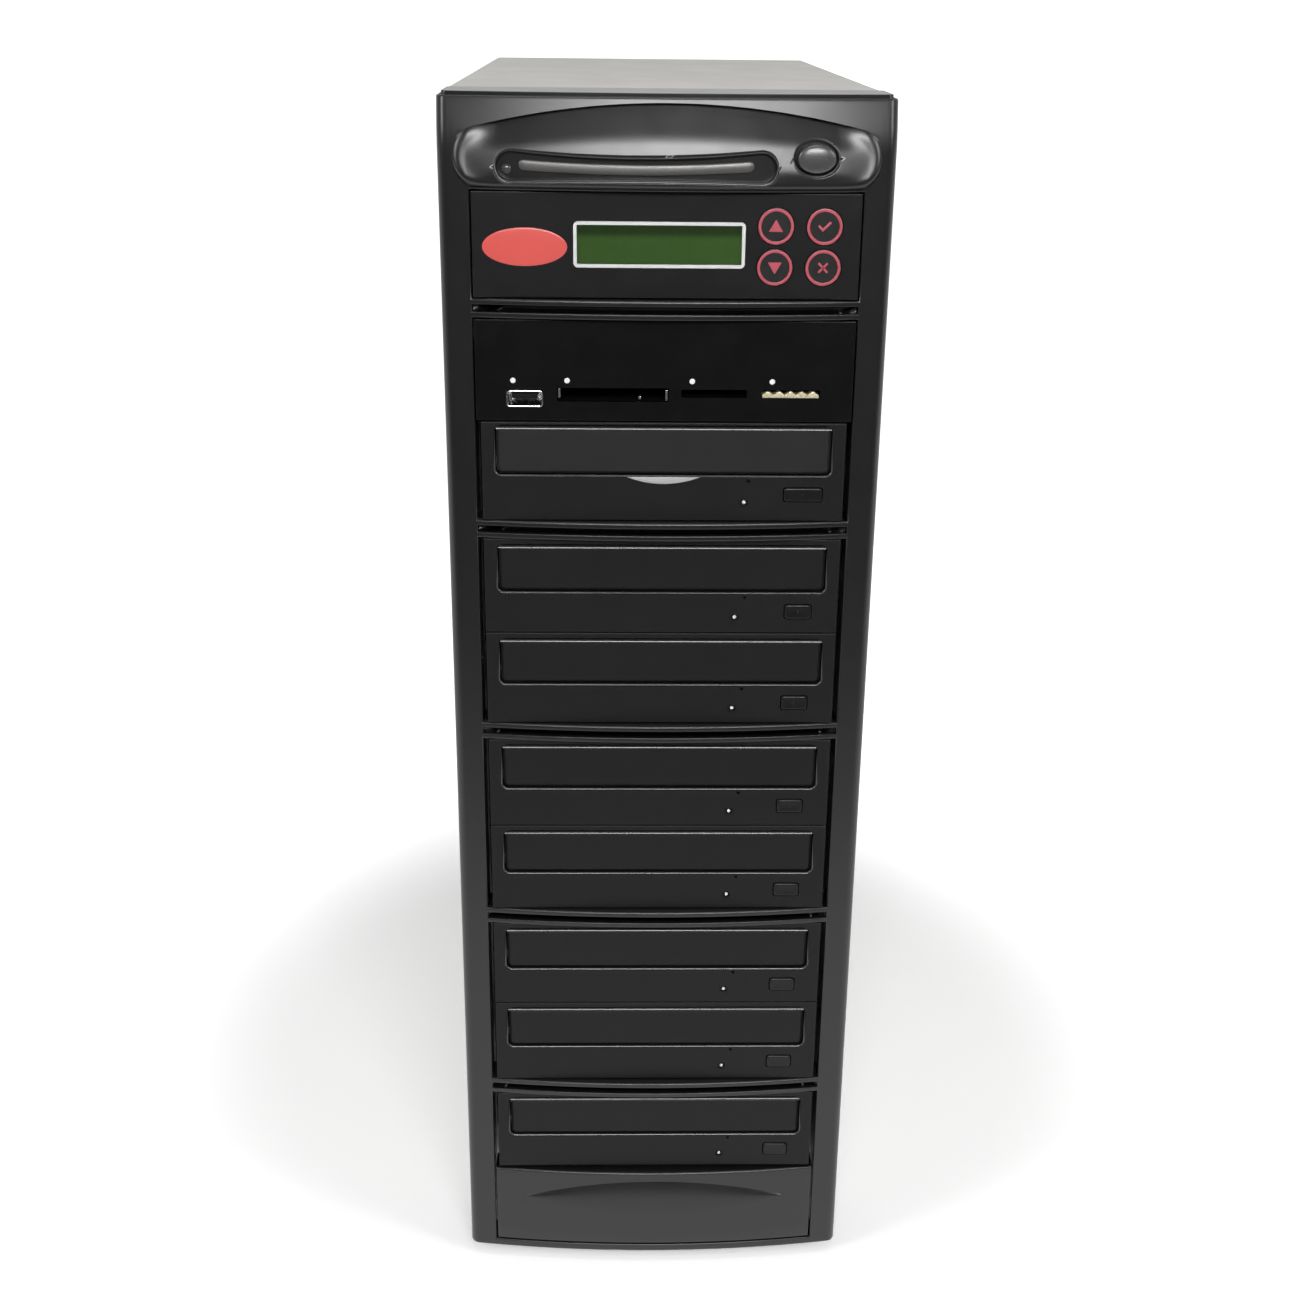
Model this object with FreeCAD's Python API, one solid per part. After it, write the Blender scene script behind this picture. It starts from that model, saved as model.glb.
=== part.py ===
import FreeCAD, Part
import math
import os

V = FreeCAD.Vector
os.makedirs("parts", exist_ok=True)

# Driving sizes of the tower. X is to the right, Y to the back, Z up.
# The width follows from the drives and the columns beside them, the height from the bays.
tower_depth = 375.0
bezel_depth = 36.0
bow_sag = 5.0
foot_height = 6.0
drive_width = 148.6
drive_height = 41.3
drive_gap = 0.34
drive_side_gap = 2.2
column_width = 12.5
rib_height = 8.05
first_bay_height = 47.2
hood_height = 36.19
bay_counts = (1, 2, 2, 2, 2, 1)
bezel_wall = 2.5
sheet = 1.0
case_inset = 1.0
face_proud = 0.5
nose_proud = 3.0
side_flange_width = 13.0
thumb_head_length = 7.0
fit_gap = 0.4
overrun = 30.0
upright = math.cos(math.radians(60))

# Levels and planes that follow from them
window_half = drive_width / 2 + drive_side_gap
tower_half = window_half + column_width
bow_radius = (window_half ** 2 + bow_sag ** 2) / (2 * bow_sag)
front_reach = bow_sag + nose_proud
rear_reach = sheet + thumb_head_length
front_y = -(tower_depth + rear_reach - front_reach) / 2
back_y = front_y + tower_depth
bow_centre_y = front_y - bow_sag + bow_radius
face_y = front_y - face_proud
bezel_z = foot_height
frame_y = front_y + bezel_depth
case_half = tower_half - case_inset
case_z = bezel_z + case_inset
inner_half = case_half - sheet

bay_z = []
opening_levels = []
level = bezel_z + first_bay_height
for bay_count in bay_counts:
    opening_bottom = level
    for bay in range(bay_count):
        bay_z.append(level)
        level = level + drive_height + drive_gap
    level = level - drive_gap
    opening_levels.append((opening_bottom, level))
    level = level + rib_height
bays_top_z = opening_levels[-1][1]
top_z = bays_top_z + hood_height
case_top_z = top_z - case_inset
panel_z = bay_z[-1]
card_z = bay_z[-2]
reader_z = bay_z[-3]
writer_levels = bay_z[-4::-1]


def save(name, *solids):
    """Write the solids of one node to its file."""
    shape = solids[0] if len(solids) == 1 else Part.Compound(list(solids))
    shape.exportStep("parts/" + name + ".step")


def box(x, y, z):
    """A block between two X, two Y and two Z places."""
    return Part.makeBox(x[1] - x[0], y[1] - y[0], z[1] - z[0], V(x[0], y[0], z[0]))


def rod(radius, x, y, z):
    """A round rod along Y between two places."""
    return Part.makeCylinder(radius, y[1] - y[0], V(x, y[0], z), V(0, 1, 0))


def cross_rod(radius, x, y, z):
    """A round rod along X between two places."""
    return Part.makeCylinder(radius, x[1] - x[0], V(x[0], y, z), V(1, 0, 0))


def prism(edges, y):
    """A closed outline in the XZ plane carried along Y between two places."""
    face = Part.Face(Part.Wire(edges))
    face.translate(V(0, y[0], 0))
    return face.extrude(V(0, y[1] - y[0], 0))


def line(a, b):
    """A straight edge in the XZ plane."""
    return Part.LineSegment(V(a[0], 0, a[1]), V(b[0], 0, b[1])).toShape()


def arc(a, b, c):
    """An arc in the XZ plane through three points."""
    return Part.Arc(V(a[0], 0, a[1]), V(b[0], 0, b[1]), V(c[0], 0, c[1])).toShape()


def rounded(x, y, z, radius):
    """A block along Y whose four long corners are rounded."""
    block = box(x, y, z)
    long_edges = [edge for edge in block.Edges if abs(edge.tangentAt(edge.FirstParameter).y) > upright]
    return block.makeFillet(radius, long_edges)


def oval(half_x, half_z, x, y, z):
    """An elliptical bar along Y between two places."""
    ellipse = Part.Ellipse(V(0, 0, 0), half_x, half_z).toShape()
    face = Part.Face(Part.Wire([ellipse]))
    face.rotate(V(0, 0, 0), V(1, 0, 0), 90)
    face.translate(V(x, y[0], z))
    return face.extrude(V(0, y[1] - y[0], 0))


def bow_y(x, proud):
    """Where the bowed front lies at x, a stated height proud of its face."""
    return bow_centre_y - math.sqrt((bow_radius + proud) ** 2 - x ** 2)


def bowed(half_width, proud, end_y, z):
    """An upright block with a bowed front, straight sides and a flat back."""
    left = V(-half_width, bow_y(half_width, proud), z[0])
    right = V(half_width, bow_y(half_width, proud), z[0])
    middle = V(0, bow_y(0, proud), z[0])
    back_right = V(half_width, end_y, z[0])
    back_left = V(-half_width, end_y, z[0])
    edges = [Part.Arc(left, middle, right).toShape(), Part.LineSegment(right, back_right).toShape(),
             Part.LineSegment(back_right, back_left).toShape(), Part.LineSegment(back_left, left).toShape()]
    return Part.Face(Part.Wire(edges)).extrude(V(0, 0, z[1] - z[0]))


def in_front(shape, proud):
    """The part of a shape that lies in front of the bowed face."""
    limits = shape.BoundBox
    height = (limits.ZMin - overrun, limits.ZMax + overrun)
    return shape.cut(bowed(2 * tower_half, proud, limits.YMax + overrun, height))


# Front moulding
bezel_corner = 4.5
bezel_edge = 2.0
jamb_depth = 14.0
rib_depth = 6.0
rib_setback = 0.2
groove_height = 3.0
groove_depth = 5.0
arch_drop = 3.4
arch_end_drop = 13.2
arch_side = 12.0
arch_recess = 1.6
arch_middle_recess = 0.9
hood_side = 6.0
hood_floor_rise = 1.2
hood_lap = 0.6
nose_round = 2.4
hood_wall = 5.0
hood_sweep = 12.0
lower_rim = 4.0
cover_top_gap = 1.5
arch_half = tower_half - arch_side
hood_half = tower_half - hood_side
hood_z = bays_top_z + hood_floor_rise
arch_z = top_z - arch_drop
arch_end_z = top_z - arch_end_drop


def hood_outline(grow, y):
    """The hood seen from the front: an arched top and rounded ends over a straight foot."""
    left_top, right_top = (-arch_half - grow, arch_end_z), (arch_half + grow, arch_end_z)
    left_foot, right_foot = (-window_half - grow, hood_z), (window_half + grow, hood_z)
    waist = (hood_z + arch_end_z) / 2
    edges = [arc(left_top, (0, arch_z + grow), right_top),
             arc(right_top, (hood_half + grow, waist), right_foot),
             line(right_foot, left_foot),
             arc(left_foot, (-hood_half - grow, waist), left_top)]
    return prism(edges, y)


def hood_form():
    """The hood's wall: scooped under the arch and rolled over at its foot, carried round the bow."""
    def place(proud, z):
        return V(0, bow_centre_y - bow_radius - proud, z)
    nose_middle_z = (hood_z + nose_round + arch_z) / 2
    roll = nose_round * (1 - math.sqrt(0.5))
    back_foot = place(-hood_wall, hood_z)
    foot = place(nose_proud - nose_round, hood_z)
    roll_middle = place(nose_proud - roll, hood_z + roll)
    roll_top = place(nose_proud, hood_z + nose_round)
    scoop_middle = place(arch_middle_recess, nose_middle_z)
    scoop_top = place(-arch_recess, arch_z)
    back_top = place(-hood_wall, arch_z)
    edges = [Part.LineSegment(back_foot, foot).toShape(), Part.Arc(foot, roll_middle, roll_top).toShape(),
             Part.Arc(roll_top, scoop_middle, scoop_top).toShape(), Part.LineSegment(scoop_top, back_top).toShape(),
             Part.LineSegment(back_top, back_foot).toShape()]
    face = Part.Face(Part.Wire(edges))
    axis_foot = V(0, bow_centre_y, 0)
    face.rotate(axis_foot, V(0, 0, 1), -hood_sweep)
    return face.revolve(axis_foot, V(0, 0, 1), 2 * hood_sweep)


# Slot, strip, lamp and button of the hood
slot_side = 22.6
slot_button_gap = 14.6
slot_end_height = 12.6
slot_middle_height = 9.2
slot_rise = 1.6
slot_depth = 4.0
slot_bottom_bow = 0.9
strip_inset = 9.2
strip_height = 4.0
strip_rise = 5.0
strip_sag = 1.6
strip_thickness = 1.0
lamp_inset = 4.4
lamp_rise = 5.2
lamp_radius = 2.0
button_side = 32.0
button_rise = 11.8
button_half_x = 7.85
button_half_z = 5.7
button_ring = 1.3
button_ring_depth = 2.2
button_gap = 0.35
button_travel = 2.5
button_proud = 1.6
button_length = 13.0
button_flange = 1.2
button_flange_thickness = 1.5
slot_z = hood_z + slot_rise
button_z = hood_z + button_rise
button_x = tower_half - button_side
slot_left = -tower_half + slot_side
slot_right = button_x - slot_button_gap
slot_x = (slot_left + slot_right) / 2
slot_half = (slot_right - slot_left) / 2
strip_half = slot_half - strip_inset
lamp_x = slot_left + lamp_inset


def slot_outline(y):
    """The hood's slot from the front: round ends, a waist in its top edge and a nearly straight bottom."""
    end_radius = slot_end_height / 2
    left, right = slot_x - slot_half + end_radius, slot_x + slot_half - end_radius
    high, low = slot_z + slot_end_height, slot_z
    edges = [arc((left, high), (slot_x, slot_z + slot_middle_height + slot_bottom_bow), (right, high)),
             arc((right, high), (slot_x + slot_half, slot_z + end_radius), (right, low)),
             arc((right, low), (slot_x, slot_z + slot_bottom_bow), (left, low)),
             arc((left, low), (slot_x - slot_half, slot_z + end_radius), (left, high))]
    return prism(edges, y)


def strip_outline(y):
    """The silver strip from the front: two like arcs that sag in the middle."""
    low = slot_z + strip_rise
    left, right = slot_x - strip_half, slot_x + strip_half
    edges = [arc((left, low), (slot_x, low - strip_sag), (right, low)),
             line((right, low), (right, low + strip_height)),
             arc((right, low + strip_height), (slot_x, low + strip_height - strip_sag), (left, low + strip_height)),
             line((left, low + strip_height), (left, low))]
    return prism(edges, y)


def make_bezel():
    """The front moulding: a shell open at the back, with one window for each group of bays."""
    outer = bowed(tower_half, 0, frame_y, (bezel_z, top_z))
    corners = [edge for edge in outer.Edges if abs(edge.tangentAt(edge.FirstParameter).z) > upright
               and edge.CenterOfMass.y < frame_y - bezel_corner]
    outer = outer.makeFillet(bezel_corner, corners)
    rim = [edge for edge in outer.Edges if edge.BoundBox.ZMin > top_z - bezel_edge
           and edge.CenterOfMass.y < frame_y - bezel_edge]
    outer = outer.makeFillet(bezel_edge, rim)
    hollow = bowed(tower_half - bezel_wall, -bezel_wall, frame_y + overrun,
                   (bezel_z + bezel_wall, top_z - bezel_wall))
    shell = outer.cut(hollow)
    across = (front_y - overrun, frame_y - overrun / 2)
    shell = shell.cut(hood_outline(0, across)).fuse(hood_form().common(hood_outline(hood_lap, across)))
    jamb_z = (bezel_z + bezel_wall, hood_z)
    jamb_x = (window_half, window_half + bezel_wall)
    for x in (jamb_x, (-jamb_x[1], -jamb_x[0])):
        shell = shell.fuse(box(x, (front_y + bezel_wall / 2, front_y + jamb_depth), jamb_z))
    ledge_y = (front_y - bezel_wall, front_y + jamb_depth)
    shell = shell.fuse(box((-jamb_x[1], jamb_x[1]), ledge_y, (hood_z, hood_z + bezel_wall)))
    windows = [(bezel_z + lower_rim, bezel_z + first_bay_height - cover_top_gap)]
    windows = windows + [(low - rib_setback, high + rib_setback) for low, high in opening_levels]
    for low, high in windows:
        shell = shell.cut(box((-window_half, window_half), across, (low, high)))
    for (under, low), (high, over) in zip(windows[1:], windows[2:]):
        bar = bowed(window_half + bezel_wall / 2, 0, front_y + rib_depth, (low, high))
        middle = (low + high) / 2
        groove_z = (middle - groove_height / 2, middle + groove_height / 2)
        groove = in_front(box((-window_half, window_half), across, groove_z), -groove_depth)
        shell = shell.fuse(bar).cut(groove)
    sill = bowed(window_half + bezel_wall / 2, 0, front_y + rib_depth, (windows[0][1], windows[1][0]))
    shell = shell.cut(sill)
    shell = shell.cut(in_front(slot_outline(across), nose_proud - slot_depth))
    shell = shell.cut(oval(button_half_x + button_gap, button_half_z + button_gap, button_x, across, button_z))
    ring = oval(button_half_x + button_ring, button_half_z + button_ring, button_x, across, button_z)
    shell = shell.cut(in_front(ring, nose_proud - button_ring_depth))
    lamp_hole = rod(lamp_radius, lamp_x, across, slot_z + lamp_rise)
    return shell.cut(lamp_hole).removeSplitter()


def make_hood_fittings():
    """The silver strip in the slot, the oval button and the switch that it presses."""
    reach = (front_y - overrun, frame_y)
    floor_proud = nose_proud - slot_depth
    strip_reach = bowed(hood_half, floor_proud + strip_thickness, frame_y, (bezel_z, top_z))
    save("trim_strip", in_front(strip_outline(reach).common(strip_reach), floor_proud))
    front = bow_y(button_x, nose_proud) - button_proud
    cap = oval(button_half_x, button_half_z, button_x, (front, front + button_length), button_z)
    front_edges = [edge for edge in cap.Edges if edge.BoundBox.YMax < front + fit_gap]
    cap = cap.makeFillet(button_proud, front_edges)
    flange_y = bow_y(0, -hood_wall) + button_travel
    flange = oval(button_half_x + button_flange, button_half_z + button_flange, button_x,
                  (flange_y, flange_y + button_flange_thickness), button_z)
    flange = flange.common(bowed(2 * tower_half, -hood_wall - fit_gap, frame_y, (bezel_z, top_z)))
    save("power_button", cap.fuse(flange).removeSplitter())
    return front + button_length


# Power switch behind the oval button
switch_half = 6.0
switch_length = 9.0
switch_plunger = 1.6
switch_plunger_length = 1.5
switch_bracket = 1.5
switch_bracket_half = 10.0


def make_power_switch(button_end):
    """A latching switch on a small bracket that hangs from the moulding's roof."""
    start = button_end + button_travel + fit_gap
    plunger = rod(switch_plunger, button_x, (start, start + switch_plunger_length + fit_gap), button_z)
    body_y = (start + switch_plunger_length, start + switch_plunger_length + switch_length)
    body_z = (button_z - switch_half, button_z + switch_half)
    body = box((button_x - switch_half, button_x + switch_half), body_y, body_z)
    bracket_x = (button_x - switch_bracket_half, button_x + switch_bracket_half)
    bracket_z = (body_z[0], top_z - bezel_wall)
    bracket = box(bracket_x, (body_y[1], body_y[1] + switch_bracket), bracket_z)
    save("power_switch", plunger.fuse(body).fuse(bracket).removeSplitter())


# Lower cover
cover_gap = 0.5
cover_wall = 2.5
cover_depth = 12.0
grip_side = 14.5
grip_half_height = 10.3
grip_depth = 3.6
grip_middle_depth = 2.4
grip_wall = 1.6
grip_drop = 15.0
grip_half = window_half - grip_side


def grip_form(grow):
    """The lens-shaped finger grip: a dish that deepens towards its top, carried round the bow."""
    middle = bezel_z + first_bay_height - cover_top_gap - grip_drop
    low, high = middle - grip_half_height - grow, middle + grip_half_height + grow
    left, right = (-grip_half - grow, middle), (grip_half + grow, middle)
    outline = prism([arc(left, (0, high), right), arc(right, (0, low), left)], (front_y - overrun, frame_y))
    start = bow_centre_y - bow_radius + grow
    front_low, foot = V(0, front_y - overrun, low), V(0, start, low)
    dish, top = V(0, start + grip_middle_depth, middle), V(0, start + grip_depth, high)
    front_high = V(0, front_y - overrun, high)
    edges = [Part.LineSegment(front_low, foot).toShape(), Part.Arc(foot, dish, top).toShape(),
             Part.LineSegment(top, front_high).toShape(), Part.LineSegment(front_high, front_low).toShape()]
    face = Part.Face(Part.Wire(edges))
    axis_foot = V(0, bow_centre_y, 0)
    face.rotate(axis_foot, V(0, 0, 1), -hood_sweep)
    return face.revolve(axis_foot, V(0, 0, 1), 2 * hood_sweep).common(outline)


def make_lower_cover():
    """The snap-in panel under the lowest drive, with a shallow finger grip."""
    half = window_half - cover_gap
    z = (bezel_z + lower_rim + cover_gap, bezel_z + first_bay_height - cover_top_gap)
    body = bowed(half, 0, front_y + cover_depth, z)
    room_z = (z[0] + cover_wall, z[1] - cover_wall)
    back = bowed(half - cover_wall, -cover_wall, front_y + cover_depth + overrun, room_z)
    dish = grip_form(grip_wall).common(body)
    return body.cut(back).fuse(dish).cut(grip_form(0)).removeSplitter()


# Optical drives
drive_thickness = 6.0
plate_round = 0.5
drawer_side = 6.05
drawer_gap = 0.6
drawer_corner = 2.5
drawer_thickness = 5.0
drawer_bevel = 1.3
window_bevel = 0.5
pocket_margin = 2.2
face_wall = 2.2
writer_drawer_rise = 18.46
writer_drawer_drop = 3.14
reader_drawer_drop = 1.9
eject_side = 16.8
eject_gap = 0.35
eject_proud = 0.7
eject_length = 6.0
eject_corner = 1.0
eject_stem = 1.5
eject_stem_length = 5.0
writer_eject_half_x = 5.6
writer_eject_half_z = 3.1
writer_eject_rise = 9.5
reader_eject_half_x = 7.9
reader_eject_half_z = 2.85
reader_eject_rise = 11.3
lamp_hole_radius = 1.3
writer_lamp_side = 43.5
writer_lamp_rise = 6.9
reader_lamp_side = 41.0
reader_lamp_rise = 7.9
pin_radius = 0.7
pin_side = 39.5
pin_drop = 2.0
crescent_half = 15.4
crescent_height = 3.0
crescent_recess = 0.4
drawer_half = drive_width / 2 - drawer_side
drawer_height = drive_height - writer_drawer_rise - writer_drawer_drop
reader_drawer_rise = drive_height - drawer_height - reader_drawer_drop
eject_x = drive_width / 2 - eject_side
writer_lamp_x = drive_width / 2 - writer_lamp_side
reader_lamp_x = drive_width / 2 - reader_lamp_side
pin_x = drive_width / 2 - pin_side


def drive_front(z, drawer_rise, eject_rise, eject_half_x, eject_half_z, drive_lamp_x, drive_lamp_rise):
    """A drive's front plate with the drawer's window, the button's hole, the lamp's hole and the pin hole."""
    half = drive_width / 2
    y = (face_y, face_y + drive_thickness)
    through = (face_y - overrun, face_y + overrun)
    plate = box((-half, half), y, (z, z + drive_height))
    rim = [edge for edge in plate.Edges if edge.BoundBox.YMax < face_y + fit_gap]
    plate = plate.makeFillet(plate_round, rim)
    low = z + drawer_rise - drawer_gap
    high = z + drawer_rise + drawer_height + drawer_gap
    open_half = drawer_half + drawer_gap
    plate = plate.cut(rounded((-open_half, open_half), through, (low, high), drawer_corner + drawer_gap))
    sides = [edge for edge in plate.Edges if edge.BoundBox.YMax < face_y + fit_gap
             and abs(edge.BoundBox.ZMax - low) < fit_gap / 2]
    plate = plate.makeChamfer(window_bevel, sides)
    pocket_x = (-half + pocket_margin, half - pocket_margin)
    plate = plate.cut(box(pocket_x, (face_y + face_wall, y[1] + overrun), (z + pocket_margin, low - pocket_margin)))
    hole_x = (eject_x - eject_half_x - eject_gap, eject_x + eject_half_x + eject_gap)
    hole_z = (z + eject_rise - eject_half_z - eject_gap, z + eject_rise + eject_half_z + eject_gap)
    plate = plate.cut(rounded(hole_x, through, hole_z, eject_corner + eject_gap))
    plate = plate.cut(rod(lamp_hole_radius, drive_lamp_x, through, z + drive_lamp_rise))
    return plate.cut(rod(pin_radius, pin_x, through, low - pin_drop))


# Trays
tray_side = 3.25
tray_plate_rise = 4.0
tray_plate_thickness = 5.5
tray_tail = 27.4
tray_rail_height = 2.5
tray_rail_width = 3.0
disc_rim = 4.2
disc_depth = 2.2
small_disc_step = 19.8
small_disc_depth = 3.2
disc_margin = 4.0
spindle_half = 19.0
spindle_front = 25.0
spindle_back_rim = 20.2
tray_half = drawer_half - tray_side
disc_radius = tray_half - disc_rim
small_disc_radius = disc_radius - small_disc_step
tray_length = drawer_thickness + disc_margin + 2 * disc_radius + tray_tail


def make_tray(z, drawer_rise):
    """A drawer front and the flat tray behind it, with the disc's place and the spindle's window."""
    low = z + drawer_rise
    front = rounded((-drawer_half, drawer_half), (face_y, face_y + drawer_thickness),
                    (low, low + drawer_height), drawer_corner)
    top_edge = [edge for edge in front.Edges if edge.BoundBox.YMax < face_y + fit_gap
                and edge.BoundBox.ZMin > low + drawer_height - fit_gap]
    front = front.makeChamfer(drawer_bevel, top_edge)
    plate_z = (low + tray_plate_rise, low + tray_plate_rise + tray_plate_thickness)
    start = face_y + drawer_thickness
    plate = box((-tray_half, tray_half), (start, face_y + tray_length), plate_z)
    for side in (-1, 1):
        edge_x = sorted((side * tray_half, side * (tray_half - tray_rail_width)))
        rail = box(edge_x, (start, face_y + tray_length), (plate_z[0] - tray_rail_height, plate_z[0]))
        plate = plate.fuse(rail)
    disc_y = start + disc_margin + disc_radius
    for radius, depth in ((disc_radius, disc_depth), (small_disc_radius, small_disc_depth)):
        plate = plate.cut(Part.makeCylinder(radius, overrun, V(0, disc_y, plate_z[1] - depth)))
    window_z = (plate_z[0] - overrun, plate_z[1] + overrun)
    slot_y = (disc_y - spindle_front, face_y + tray_length - spindle_back_rim)
    slot = box((-spindle_half, spindle_half), slot_y, window_z)
    return front.fuse(plate.cut(slot)).removeSplitter()


def make_eject(z, rise, half_x, half_z):
    """A drive's button: a rounded cap and the thin stem behind it."""
    front = face_y - eject_proud
    cap = rounded((eject_x - half_x, eject_x + half_x), (front, front + eject_length),
                  (z + rise - half_z, z + rise + half_z), eject_corner)
    stem_y = (front + eject_length, front + eject_length + eject_stem_length)
    stem = box((eject_x - eject_stem, eject_x + eject_stem), stem_y, (z + rise - eject_stem, z + rise + eject_stem))
    return cap.fuse(stem).removeSplitter()


# Steel cases of the drives
drive_case_inset = 1.3
drive_case_tail = 16.0
drive_case_drop = 0.3
drive_deck_thickness = 1.2
drive_deck_gap = 0.5
drive_guide_gap = 0.8
drive_guide_height = 5.0
drive_back = 2.0
screw_radius = 1.5
screw_gap = 0.15
screw_head_radius = 3.0
screw_head_height = 1.8
screw_length = 4.0
screw_rise = 10.0
screw_first_y = 50.0
screw_spacing = 79.25
plug_side = 18.0
plug_width = 36.0
plug_height = 8.0
plug_rise = 4.0
plug_length = 7.0
drive_case_width = drive_width - 2 * drive_case_inset
drive_case_length = tray_length - drive_thickness + drive_case_tail


def make_drive_case(z, drawer_rise):
    """A drive's folded steel case: the tray's channel above a deck, and the room for the works below it."""
    half = drive_case_width / 2
    y = (face_y + drive_thickness, face_y + drive_thickness + drive_case_length)
    case_z_range = (z + drive_case_drop, z + drive_height - drive_case_drop)
    case = box((-half, half), y, case_z_range)
    tray_low = z + drawer_rise + tray_plate_rise - tray_rail_height - drive_deck_gap
    inside_x = (-half + sheet, half - sheet)
    inside_y = (y[0] - overrun, y[1] - drive_back)
    case = case.cut(box(inside_x, inside_y, (tray_low, case_z_range[1] - sheet)))
    case = case.cut(box(inside_x, inside_y, (case_z_range[0] + sheet, tray_low - drive_deck_thickness)))
    for side in (-1, 1):
        guide_x = sorted((side * (tray_half + drive_guide_gap), side * (half - sheet / 2)))
        guide_z = (tray_low - drive_deck_thickness / 2, tray_low + drive_guide_height)
        case = case.fuse(box(guide_x, (y[0], y[1] - drive_back / 2), guide_z))
    for screw_y in (screw_first_y, screw_first_y + screw_spacing):
        case = case.cut(cross_rod(screw_radius + screw_gap, (-half - overrun, half + overrun),
                                  front_y + screw_y, z + screw_rise))
    plug = box((-half + plug_side, -half + plug_side + plug_width), (y[1], y[1] + plug_length),
               (z + plug_rise, z + plug_rise + plug_height))
    return case.fuse(plug).removeSplitter()


def make_drives():
    """One reading drive over seven writing drives, each with its plate, tray, button and case."""
    writer = (writer_drawer_rise, writer_eject_rise, writer_eject_half_x, writer_eject_half_z,
              writer_lamp_x, writer_lamp_rise)
    reader = (reader_drawer_rise, reader_eject_rise, reader_eject_half_x, reader_eject_half_z,
              reader_lamp_x, reader_lamp_rise)
    cases = [make_drive_case(reader_z, reader_drawer_rise)]
    plate = drive_front(reader_z, *reader)
    crescent_top = reader_z + reader_drawer_rise - drawer_gap - window_bevel
    crescent = prism([line((-crescent_half, crescent_top), (crescent_half, crescent_top)),
                      arc((crescent_half, crescent_top), (0, crescent_top - crescent_height),
                          (-crescent_half, crescent_top))], (face_y - overrun, face_y + crescent_recess))
    save("reader_bezel", plate.cut(crescent))
    save("reader_tray", make_tray(reader_z, reader_drawer_rise))
    save("reader_eject", make_eject(reader_z, *reader[1:4]))
    for number, z in enumerate(writer_levels, start=1):
        cases.append(make_drive_case(z, writer_drawer_rise))
        save("writer_%d_bezel" % number, drive_front(z, *writer))
        save("writer_%d_tray" % number, make_tray(z, writer_drawer_rise))
        save("writer_%d_eject" % number, make_eject(z, *writer[1:4]))
    middle = len(cases) // 2
    save("upper_drive_cases", *cases[:middle])
    save("lower_drive_cases", *cases[middle:])


# Display and key panel of the top bay
panel_gap = 0.5
panel_thickness = 3.0
panel_back_lip = 8.0
trim_badge_gap = 2.4
trim_key_gap = 11.8
trim_drop = 11.4
trim_rise = 12.2
trim_line = 1.3
trim_proud = 0.3
trim_corner = 1.8
trim_fit = 0.2
display_margin = 6.0
display_depth = 8.0
display_recess = 0.4
key_land = 0.8
key_gap = 0.25
key_length = 5.0
key_proud = 0.6
key_rim = 1.3
key_dish = 0.25
key_flange = 0.5
key_flange_thickness = 1.0
key_stem_radius = 1.6
key_travel = 0.8
key_side = 14.4
key_spacing = 19.0
key_low_rise = 12.7
key_drop = 12.8
board_thickness = 1.6
board_y = 14.0
board_margin = 4.0
tact_half = 3.0
tact_height = 3.6
badge_side = 4.0
badge_rise = 20.0
badge_half_x = 16.6
badge_half_z = 7.4
badge_thickness = 0.6
panel_half = window_half - panel_gap
key_right_x = panel_half - key_side
key_left_x = key_right_x - key_spacing
key_high_rise = drive_height - key_drop
key_radius = (key_high_rise - key_low_rise) / 2 - key_land
badge_x = -panel_half + badge_side + badge_half_x
trim_z = panel_z + trim_rise
trim_x_range = (badge_x + badge_half_x + trim_badge_gap, key_left_x - trim_key_gap)
trim_z_range = (trim_z, panel_z + drive_height - trim_drop)
key_places = {"key_up": (key_left_x, key_high_rise), "key_down": (key_left_x, key_low_rise),
              "key_enter": (key_right_x, key_high_rise), "key_escape": (key_right_x, key_low_rise)}


def bay_panel(z):
    """A flat bay panel with a lip folded back all round, as the two top bays have."""
    z_range = (z + fit_gap / 2, z + drive_height - fit_gap / 2)
    block = box((-panel_half, panel_half), (face_y, face_y + panel_back_lip), z_range)
    rim = [edge for edge in block.Edges if edge.BoundBox.YMax < face_y + fit_gap]
    block = block.makeFillet(plate_round, rim)
    inside_x = (-panel_half + bezel_wall, panel_half - bezel_wall)
    inside_z = (z_range[0] + bezel_wall, z_range[1] - bezel_wall)
    return block.cut(box(inside_x, (face_y + panel_thickness, face_y + overrun), inside_z))


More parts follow.
